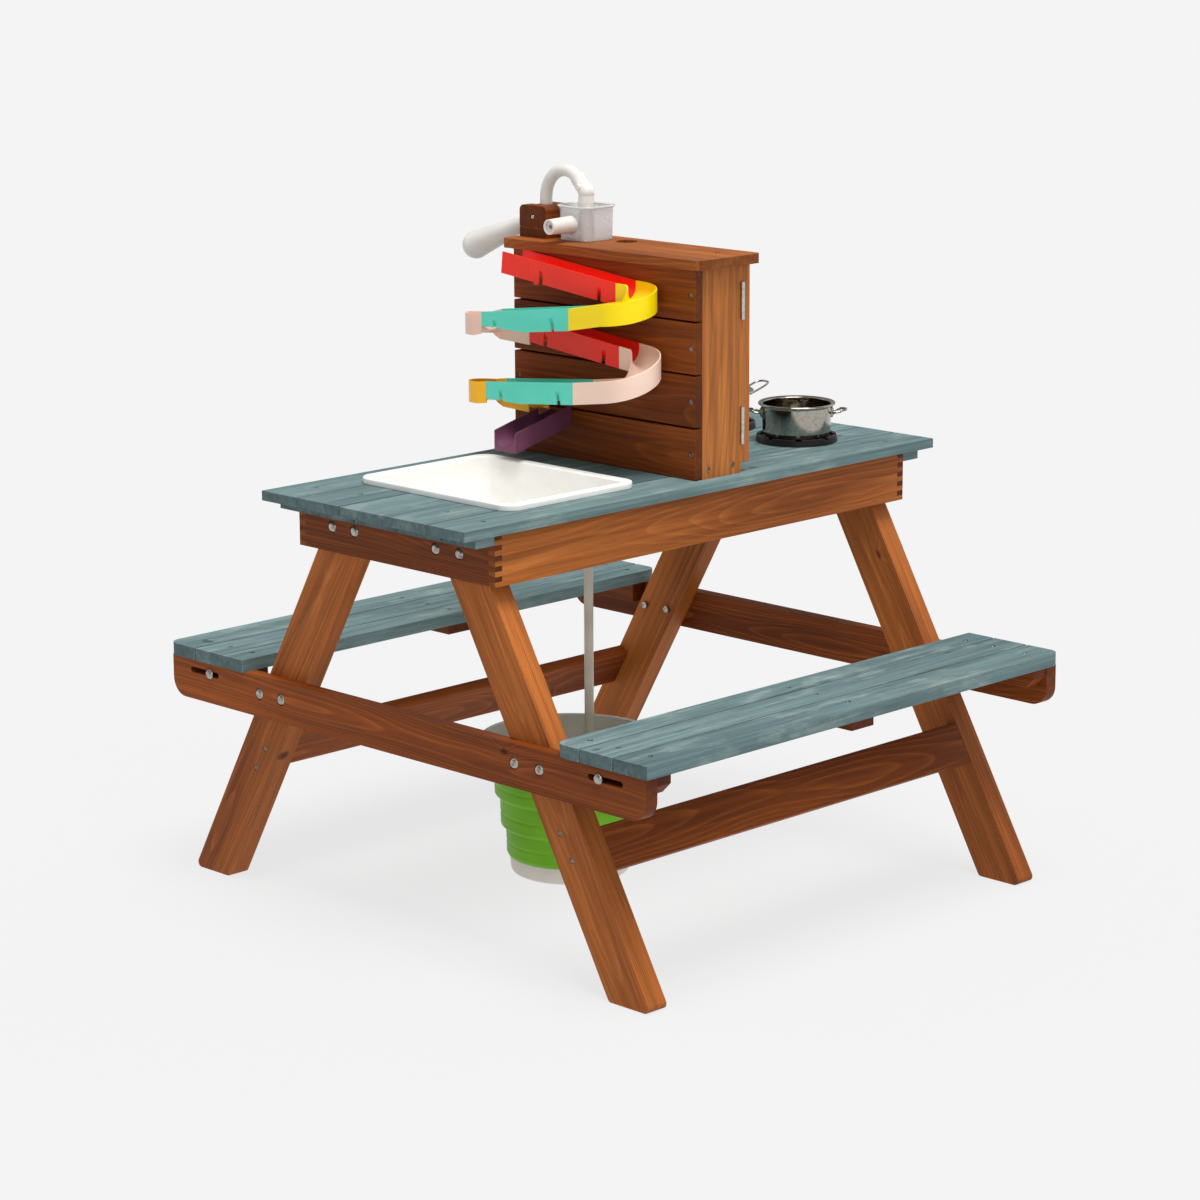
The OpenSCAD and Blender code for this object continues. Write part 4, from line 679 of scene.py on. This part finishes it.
def build_basin():
    low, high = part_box("basin")
    centre = (low + high) / 2
    length = high.x - low.x
    width = high.y - low.y
    flange = 14 * MM
    wall = 3 * MM
    floor_z = low.z + wall
    corner = 23 * MM
    taper = 7 * MM
    round_r = 15 * MM
    skirt = 8.6 * MM
    edge_r = 2.6 * MM
    roll = 3.4 * MM
    rings = []

    def ring(inset, z):
        radius = max(corner - inset, 11 * MM)
        rings.append(rounded_ring(centre, length - 2 * inset, width - 2 * inset, radius, z))

    ring(0.6 * MM, high.z - skirt)
    ring(0, high.z - 7.5 * MM)
    for turn in range(0, 91, 18):
        a = math.radians(turn)
        ring(edge_r * (1 - math.cos(a)), high.z - edge_r * (1 - math.sin(a)))
    ring(flange - roll, high.z - 0.2 * MM)
    for turn in range(18, 91, 18):
        a = math.radians(turn)
        ring(flange - roll + roll * math.sin(a), high.z - 0.2 * MM - roll * (1 - math.cos(a)))
    inner = flange + taper
    for turn in range(0, 91, 15):
        a = math.radians(turn)
        ring(inner - 1.2 * MM + round_r * (1 - math.cos(a)), floor_z + round_r * (1 - math.sin(a)))

    drain_low, drain_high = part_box("basin_plug")
    drain = (drain_low + drain_high) / 2
    count = len(rings[0])
    hole_r = 12 * MM

    def circle(radius, z):
        start = math.atan2(rings[0][0].y - centre.y, rings[0][0].x - centre.x)
        rings.append([
            Vector((drain.x + radius * math.cos(start + 2 * math.pi * i / count),
                    drain.y + radius * math.sin(start + 2 * math.pi * i / count), z))
            for i in range(count)
        ])

    circle(hole_r + 4.5 * MM, floor_z - 0.4 * MM)
    circle(hole_r, floor_z - 1 * MM)
    circle(hole_r, low.z)
    for turn in range(90, -1, -15):
        a = math.radians(turn)
        ring(inner - wall + round_r * (1 - math.cos(a)), low.z + round_r * (1 - math.sin(a)))
    ring(flange - wall, high.z - wall - 1 * MM)
    ring(wall, high.z - wall)
    ring(edge_r, high.z - skirt)
    mesh = bmesh.new()
    loft(mesh, rings, closed=True)
    finish_piece("basin_shell", mesh, "basin", WHITE, 60)


def build_plug():
    low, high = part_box("basin_plug")
    place = Matrix.Translation(Vector(((low.x + high.x) / 2, (low.y + high.y) / 2, low.z)))
    r = (high.x - low.x) / 2
    h = high.z - low.z
    mesh = bmesh.new()
    lathe(mesh, outline([
        (0, 0, 0), (r - 4.6 * MM, 0, 0.6 * MM), (r - 4.3 * MM, 5 * MM, 0), (r, 5 * MM, 0.5 * MM),
        (r, 6.8 * MM, 1 * MM), (5 * MM, 7.2 * MM, 1.5 * MM), (3 * MM, 9 * MM, 1.5 * MM),
        (4 * MM, h, 1.5 * MM), (0, h, 0),
    ]), place, 64)
    tidy(mesh)
    finish_piece("basin_plug_look", mesh, "basin_plug", MILKY)


build_basin()
build_plug()


# ---- Bucket ----

BUCKET_T = 2.4 * MM


def bucket_place():
    low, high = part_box("bucket_base")
    return Matrix.Translation(Vector(((low.x + high.x) / 2, (low.y + high.y) / 2, 0)))


def build_bucket():
    place = bucket_place()
    low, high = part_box("bucket_base")
    r = (high.x - low.x) / 2
    mesh = bmesh.new()
    lathe(mesh, outline([
        (0, 2 * MM, 0), (r - 16 * MM, 2 * MM, 1 * MM), (r - 15 * MM, 0, 0.8 * MM),
        (r - 2 * MM, 0, 9 * MM),
        (r - 0.4 * MM, 16 * MM, 6 * MM), (r, high.z, 0.7 * MM), (r - BUCKET_T, high.z, 0.7 * MM),
        (r - BUCKET_T - 0.8 * MM, 6 * MM, 6 * MM), (0, 4.4 * MM, 0),
    ]), place, 128)
    tidy(mesh)
    finish_piece("bucket_base_look", mesh, "bucket_base", BUCKET_WHITE)
    inner = r
    for node in ("bucket_ring_lower", "bucket_ring_middle", "bucket_ring_upper", "bucket_rim"):
        inner = build_ring(node, place, inner)


def build_ring(node, place, below):
    """A folding ring: a wall that steps in through a soft shoulder to the piece below."""
    low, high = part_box(node)
    rim = node == "bucket_rim"
    lip = 5 * MM if rim else 0
    r = (high.x - low.x) / 2 - lip
    inner = below + 0.4 * MM
    foot = low.z + 4 * MM
    wall = r - BUCKET_T
    corners = [
        (inner, low.z, 0.3 * MM), (inner + 1.6 * MM, low.z + 0.5 * MM, 1 * MM),
        (r - 0.6 * MM, foot + 1.5 * MM, 5 * MM),
    ]
    if rim:
        corners += [
            (r, high.z - 9 * MM, 1 * MM), (r, high.z - 4 * MM, 1.2 * MM),
            (r + lip, high.z - 4 * MM, 1 * MM), (r + lip, high.z, 1.6 * MM),
        ]
    else:
        bead = (high.z + foot) / 2
        corners += [
            (r - 0.5 * MM, bead - 6 * MM, 3 * MM), (r - 1.1 * MM, bead - 3 * MM, 1.5 * MM),
            (r - 0.3 * MM, bead, 2 * MM), (r, high.z - 2 * MM, 1.4 * MM), (r, high.z, 1 * MM),
        ]
    corners += [
        (wall, high.z, 0.8 * MM), (wall, foot + 3 * MM, 3 * MM), (inner, low.z + BUCKET_T, 0.3 * MM),
    ]
    mesh = bmesh.new()
    lathe(mesh, outline(corners), place, 128)
    tidy(mesh)
    finish_piece(
        node + "_look", mesh, node, BUCKET_WHITE if rim else SILICONE,
        50,
    )
    return r


build_bucket()


# ---- Pump and water cup ----

def build_cup():
    low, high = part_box("water_cup")
    centre = (low + high) / 2
    rim = 3 * MM
    size = high.x - low.x - 2 * rim
    corner = 14 * MM
    wall = 2 * MM
    taper = 1.6 * MM
    mesh = bmesh.new()
    rings = []

    def ring(inset, z):
        rings.append(rounded_ring(
            centre, size - 2 * inset, size - 2 * inset, max(corner - inset, 4 * MM), z, 10
        ))

    ring(taper + 5 * MM, low.z + 0.2 * MM)
    ring(taper + 1.2 * MM, low.z)
    ring(taper, low.z + 1.2 * MM)
    ring(0.2 * MM, high.z - 5 * MM)
    for turn in range(0, 181, 30):
        a = math.radians(turn)
        ring(-rim + 1.5 * MM - 1.5 * MM * math.sin(a), high.z - 1.5 * MM - 1.5 * MM * math.cos(a))
    ring(wall - 0.6 * MM, high.z - 0.3 * MM)
    ring(wall, high.z - 1.5 * MM)
    ring(taper + wall, low.z + wall + 2 * MM)
    ring(taper + wall + 2 * MM, low.z + wall)
    ring(taper + 10 * MM, low.z + wall)
    loft(mesh, rings)
    finish_piece("water_cup_look", mesh, "water_cup", CLEAR, 60)


build_cup()
for node in ("pump_lever", "pump_piston", "pump_cylinder", "pump_gooseneck", "pump_riser",
             "cup_spigot", "suction_pipe"):
    copied_piece(
        node, PIPE if node == "suction_pipe" else MILKY, 0.5 * MM, 2.5 * MM, 32
    )
copied_piece("hob_rings", BLACK, 0.5 * MM, 2.5 * MM, 35)
for node in ("hinge_fixed_leaves", "hinge_leaves_front", "hinge_leaves_back"):
    copied_piece(node, HINGE_STEEL, 0.15 * MM, 3 * MM, 35)


# ---- Pans ----

def pan_profile(radius, height):
    """A thin spun pan with a rolled rim, in (radius, height)."""
    wall = 1.2 * MM
    roll = 1.9 * MM
    foot = 10 * MM
    body = outline([
        (0, 0, 0), (radius - 22 * MM, 0, 2 * MM), (radius - 20 * MM, 0.6 * MM, 2 * MM),
        (radius - 1 * MM, 0.6 * MM, foot), (radius, height - 6 * MM, 2 * MM),
        (radius + 0.8 * MM, height - 2.6 * MM, 1.5 * MM),
        (radius + 3.4 * MM, height - 2 * MM, 0.5 * MM),
    ])
    curl = [
        Vector((radius + 3.8 * MM + roll * math.cos(a), height - roll + roll * math.sin(a)))
        for a in (math.radians(-110 + 25 * i) for i in range(10))
    ]
    inside = outline([
        (radius + 2.5 * MM, height - 0.8 * MM, 0), (radius - wall, height - 1.6 * MM, 1.5 * MM),
        (radius - wall, foot, 0), (radius - wall - 1 * MM, wall + 0.6 * MM, foot - wall),
        (radius - 26 * MM, wall + 0.2 * MM, 1 * MM), (0, wall, 0),
    ])
    return body[:-1] + curl + inside[1:]


def handle_wire(reach, half, lift):
    """A bent wire loop: out from the plate, round the end and back."""
    return smooth_loop([
        (0.6 * MM, -half * 0.5, -1 * MM), (2.4 * MM, -half, 0.6 * MM),
        (reach * 0.5, -half, lift * 0.45),
        (reach - half * 0.7, -half * 0.96, lift * 0.86), (reach - 1.6 * MM, -half * 0.5, lift),
        (reach - 1.6 * MM, half * 0.5, lift), (reach - half * 0.7, half * 0.96, lift * 0.86),
        (reach * 0.5, half, lift * 0.45), (2.4 * MM, half, 0.6 * MM), (0.6 * MM, half * 0.5, -1 * MM),
    ], 8)


def build_pan(node, centre, handles):
    low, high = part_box(node)
    radius = 48.5 * MM
    height = 49 * MM
    base = Matrix.Translation(Vector((centre.x, centre.y, low.z)))
    mesh = bmesh.new()
    lathe(mesh, pan_profile(radius, height), base, 128)
    tidy(mesh)
    for turn, reach, half, lift in handles:
        place = base @ Matrix.Rotation(math.radians(turn), 4, "Z") @ Matrix.Translation(
            Vector((radius + 0.2 * MM, 0, height - 15 * MM)))
        plate = outline([
            (-6 * MM, -7 * MM, 2.5 * MM), (6 * MM, -7 * MM, 2.5 * MM),
            (6 * MM, 7.5 * MM, 2.5 * MM), (-6 * MM, 7.5 * MM, 2.5 * MM),
        ], 4)
        loft(mesh, [
            [place @ Vector((x, p.x * s, p.y * s)) for p in plate]
            for x, s in ((-0.4 * MM, 1), (1.2 * MM, 1), (1.7 * MM, 0.92))
        ])
        for z in (-3.6 * MM, 4.2 * MM):
            rivet = place @ Matrix.Translation(Vector((1.6 * MM, 0, z))) @ Matrix.Rotation(
                math.radians(90), 4, "Y")
            lathe(mesh, outline([
                (0, -0.4 * MM, 0), (2 * MM, -0.4 * MM, 0), (2.1 * MM, 0.4 * MM, 0.3 * MM),
                (0.8 * MM, 1.5 * MM, 0.8 * MM), (0, 1.6 * MM, 0),
            ]), rivet, 20)
        path = handle_wire(reach, half, lift)
        path.append(path[0])
        tube(mesh, path, 1.5 * MM, place @ Matrix.Translation(Vector((1.4 * MM, 0, 0))))
    bmesh.ops.remove_doubles(mesh, verts=mesh.verts, dist=0.002 * MM)
    finish_piece(node + "_look", mesh, node, PAN_STEEL, 50)


pot_low, pot_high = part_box("cooking_pot")
pan_low, pan_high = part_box("frying_pan")
hob_low, hob_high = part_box("hob_rings")
build_pan("cooking_pot", (pot_low + pot_high) / 2, [
    (-45, 20 * MM, 11 * MM, 4 * MM), (135, 20 * MM, 11 * MM, 4 * MM),
])
build_pan("frying_pan", Vector(((hob_low.x + hob_high.x) / 2, (pan_low.y + pan_high.y) / 2, 0)), [
    (0, 54 * MM, 12 * MM, 14 * MM),
])


# ---- Fasteners ----

HEAD_REACH = 4.5 * MM


def fasteners(node):
    """(matrix with +Z out of the head, head radius, length) of each bolt and screw."""
    mesh = cad_mesh(node)
    found = []
    for group in islands(mesh):
        points = [v.co for v in group]
        low = Vector([min(p[i] for p in points) for i in range(3)])
        high = Vector([max(p[i] for p in points) for i in range(3)])
        axis = max(range(3), key=lambda i: high[i] - low[i])
        middle = (low + high) / 2

        def radius_near(level):
            near = [p for p in points if abs(p[axis] - level) < HEAD_REACH]
            return max(math.hypot(*[p[i] - middle[i] for i in range(3) if i != axis]) for p in near)

        at_low = radius_near(low[axis])
        at_high = radius_near(high[axis])
        out = Vector((0, 0, 0))
        out[axis] = 1 if at_high >= at_low else -1
        top = middle.copy()
        top[axis] = high[axis] if at_high >= at_low else low[axis]
        place = Matrix.Translation(top) @ out.to_track_quat("Z", "Y").to_matrix().to_4x4()
        found.append((place, max(at_low, at_high), high[axis] - low[axis]))
    mesh.free()
    return found


def add_bolt(mesh, place, radius, length):
    """A carriage bolt: domed head and shank, with a chamfered hexagon nut on the larger bolts."""
    head = 4 * MM if radius > 6 * MM else 2 * MM
    shank = 3 * MM
    lathe(mesh, outline([
        (0, -length + 0.4 * MM, 0), (shank - 0.5 * MM, -length + 0.4 * MM, 0.4 * MM),
        (shank, -length + 1.2 * MM, 0), (shank, -head, 0),
        (radius - 0.2 * MM, -head, 0.2 * MM), (radius, -head + 0.9 * MM, 0.6 * MM),
        (radius * 0.72, -head * 0.14, radius * 0.8), (0, 0, 0),
    ], 7), place, 48)
    if radius > 6 * MM:
        flats = 5.6 * MM
        nut = 5 * MM
        lathe(mesh, outline([
            (shank - 0.1 * MM, -length, 0), (flats - 0.7 * MM, -length, 0),
            (flats, -length + 0.6 * MM, 0), (flats, -length + nut - 0.1 * MM, 0),
            (shank - 0.1 * MM, -length + nut - 0.1 * MM, 0),
        ]), place, 6)


def add_screw(mesh, place, radius, length):
    """A countersunk screw with a cross recess."""
    steps = 24
    bevel = 0.35 * MM
    top = radius - 0.5 * MM
    shank = 1.6 * MM
    head = 1.6 * MM

    def circle(r, z):
        return [
            mesh.verts.new(place @ Vector((
                r * math.cos(2 * math.pi * i / steps), r * math.sin(2 * math.pi * i / steps), z
            ))) for i in range(steps)
        ]

    rows = [
        circle(top, 0), circle(radius, -bevel), circle(shank, -head),
        circle(shank, -length + 2 * MM), circle(0.3 * MM, -length),
    ]
    for upper, lower in zip(rows, rows[1:]):
        for i in range(steps):
            k = (i + 1) % steps
            mesh.faces.new((upper[k], upper[i], lower[i], lower[k]))
    mesh.faces.new(rows[-1])
    arm = radius * 0.6
    half = radius * 0.17
    corners = []
    for quarter in range(4):
        turn = Matrix.Rotation(math.radians(90 * quarter + 20), 4, "Z")
        corners += [turn @ Vector(p) for p in ((arm, -half, 0), (arm, half, 0), (half, half, 0))]
    rim = [mesh.verts.new(place @ p) for p in corners]
    deep = [mesh.verts.new(place @ Vector((p.x * 0.5, p.y * 0.5, -1.3 * MM))) for p in corners]
    edges = [mesh.edges.get((rows[0][i], rows[0][(i + 1) % steps])) for i in range(steps)]
    count = len(rim)
    edges += [mesh.edges.new((rim[i], rim[(i + 1) % count])) for i in range(count)]
    bmesh.ops.triangle_fill(mesh, edges=edges, use_beauty=True)
    for i in range(count):
        k = (i + 1) % count
        mesh.faces.new((rim[i], rim[k], deep[k], deep[i]))
    mesh.faces.new(deep)


def build_fasteners(node, material):
    mesh = bmesh.new()
    for place, radius, length in fasteners(node):
        if length > 20 * MM:
            add_bolt(mesh, place, radius, length)
        else:
            add_screw(mesh, place, radius, length)
    bmesh.ops.remove_doubles(mesh, verts=mesh.verts, dist=0.002 * MM)
    finish_piece(node + "_look", mesh, node, material, 32)


build_fasteners("frame_bolts", ZINC)
build_fasteners("bench_front_bolts", ZINC)
build_fasteners("bench_back_bolts", ZINC)
build_fasteners("frame_screws", DARK_STEEL)


# ---- Floor, light and camera ----

FLOOR_HALF = 60.0
FLOOR_DROP = 0.2 * MM


def build_floor():
    mesh = bmesh.new()
    bmesh.ops.create_grid(mesh, x_segments=1, y_segments=1, size=FLOOR_HALF)
    data = bpy.data.meshes.new("floor")
    mesh.to_mesh(data)
    mesh.free()
    g = Graph("floor_paper")
    grain = g.noise(g.place(), 40, detail=3).outputs["Fac"]
    g.set(Base_Color=g.mix(grain, srgb(86, 86, 86), srgb(90, 90, 90)))
    g.shader.inputs["Roughness"].default_value = 0.9
    g.shader.inputs["Specular IOR Level"].default_value = 0.0
    g.shader.inputs["Emission Color"].default_value = (1, 1, 1, 1)
    g.shader.inputs["Emission Strength"].default_value = 0.75
    data.materials.append(g.material)
    floor = bpy.data.objects.new("floor", data)
    floor.location.z = -FLOOR_DROP
    scene.collection.objects.link(floor)


def build_light():
    """A pale room with soft bright and dark bands round it, and a broad light above."""
    world = bpy.data.worlds.new("studio")
    world.use_nodes = True
    tree = world.node_tree
    scene.world = world
    direction = tree.nodes.new("ShaderNodeTexCoord").outputs["Generated"]
    split = tree.nodes.new("ShaderNodeSeparateXYZ")
    tree.links.new(direction, split.inputs[0])
    turn = tree.nodes.new("ShaderNodeMath")
    turn.operation = "ARCTAN2"
    tree.links.new(split.outputs[1], turn.inputs[0])
    tree.links.new(split.outputs[0], turn.inputs[1])
    share = tree.nodes.new("ShaderNodeMapRange")
    share.inputs["From Min"].default_value = -math.pi
    share.inputs["From Max"].default_value = math.pi
    tree.links.new(turn.outputs[0], share.inputs["Value"])
    ramp = tree.nodes.new("ShaderNodeValToRGB")
    ramp.color_ramp.interpolation = "EASE"
    stops = [(0.0, 0.2), (0.05, 0.9), (0.1, 0.12), (0.13, 1.7), (0.16, 0.15), (0.2, 1.5), (0.27, 1.5),
             (0.3, 0.12), (0.36, 0.2), (0.42, 1.1), (0.5, 1.1), (0.56, 0.3), (0.75, 0.35), (0.82, 0.9),
             (0.9, 0.3)]
    points = ramp.color_ramp.elements
    while len(points) < len(stops):
        points.new(0.5)
    for point, (position, level) in zip(points, stops):
        point.position = position
        point.color = (level, level, level, 1)
    tree.links.new(share.outputs[0], ramp.inputs[0])
    tree.links.new(ramp.outputs[0], tree.nodes["Background"].inputs["Color"])
    tree.nodes["Background"].inputs["Strength"].default_value = 1.0

    sun = bpy.data.lights.new("key", "SUN")
    sun.energy = 3.1
    sun.angle = math.radians(35)
    lamp = bpy.data.objects.new("key", sun)
    toward = Vector((-0.1, -0.3, 1.2))
    lamp.rotation_mode = "QUATERNION"
    lamp.rotation_quaternion = toward.to_track_quat("Z", "Y")
    scene.collection.objects.link(lamp)


SENSOR_MM = 36
LENS_MM = 103.8
SHIFT = (-0.0045, -0.006)
CAMERA_PLACE = (-3.2603, -3.2561, 1.4481)
CAMERA_YAW = math.radians(44.95)
CAMERA_PITCH = math.radians(12.81)
CAMERA_ROLL = math.radians(0.27)


def build_camera():
    data = bpy.data.cameras.new("camera")
    data.sensor_width = SENSOR_MM
    data.lens = LENS_MM
    data.shift_x, data.shift_y = SHIFT
    data.clip_end = 200
    camera = bpy.data.objects.new("camera", data)
    level = math.cos(CAMERA_PITCH)
    forward = Vector((
        math.sin(CAMERA_YAW) * level, math.cos(CAMERA_YAW) * level, -math.sin(CAMERA_PITCH)
    ))
    camera.rotation_mode = "QUATERNION"
    camera.rotation_quaternion = (
        Matrix.Rotation(CAMERA_ROLL, 3, forward).to_quaternion() @ forward.to_track_quat("-Z", "Y")
    )
    camera.location = CAMERA_PLACE
    scene.collection.objects.link(camera)
    scene.camera = camera


build_floor()
build_light()
build_camera()
scene.view_settings.view_transform = "Standard"
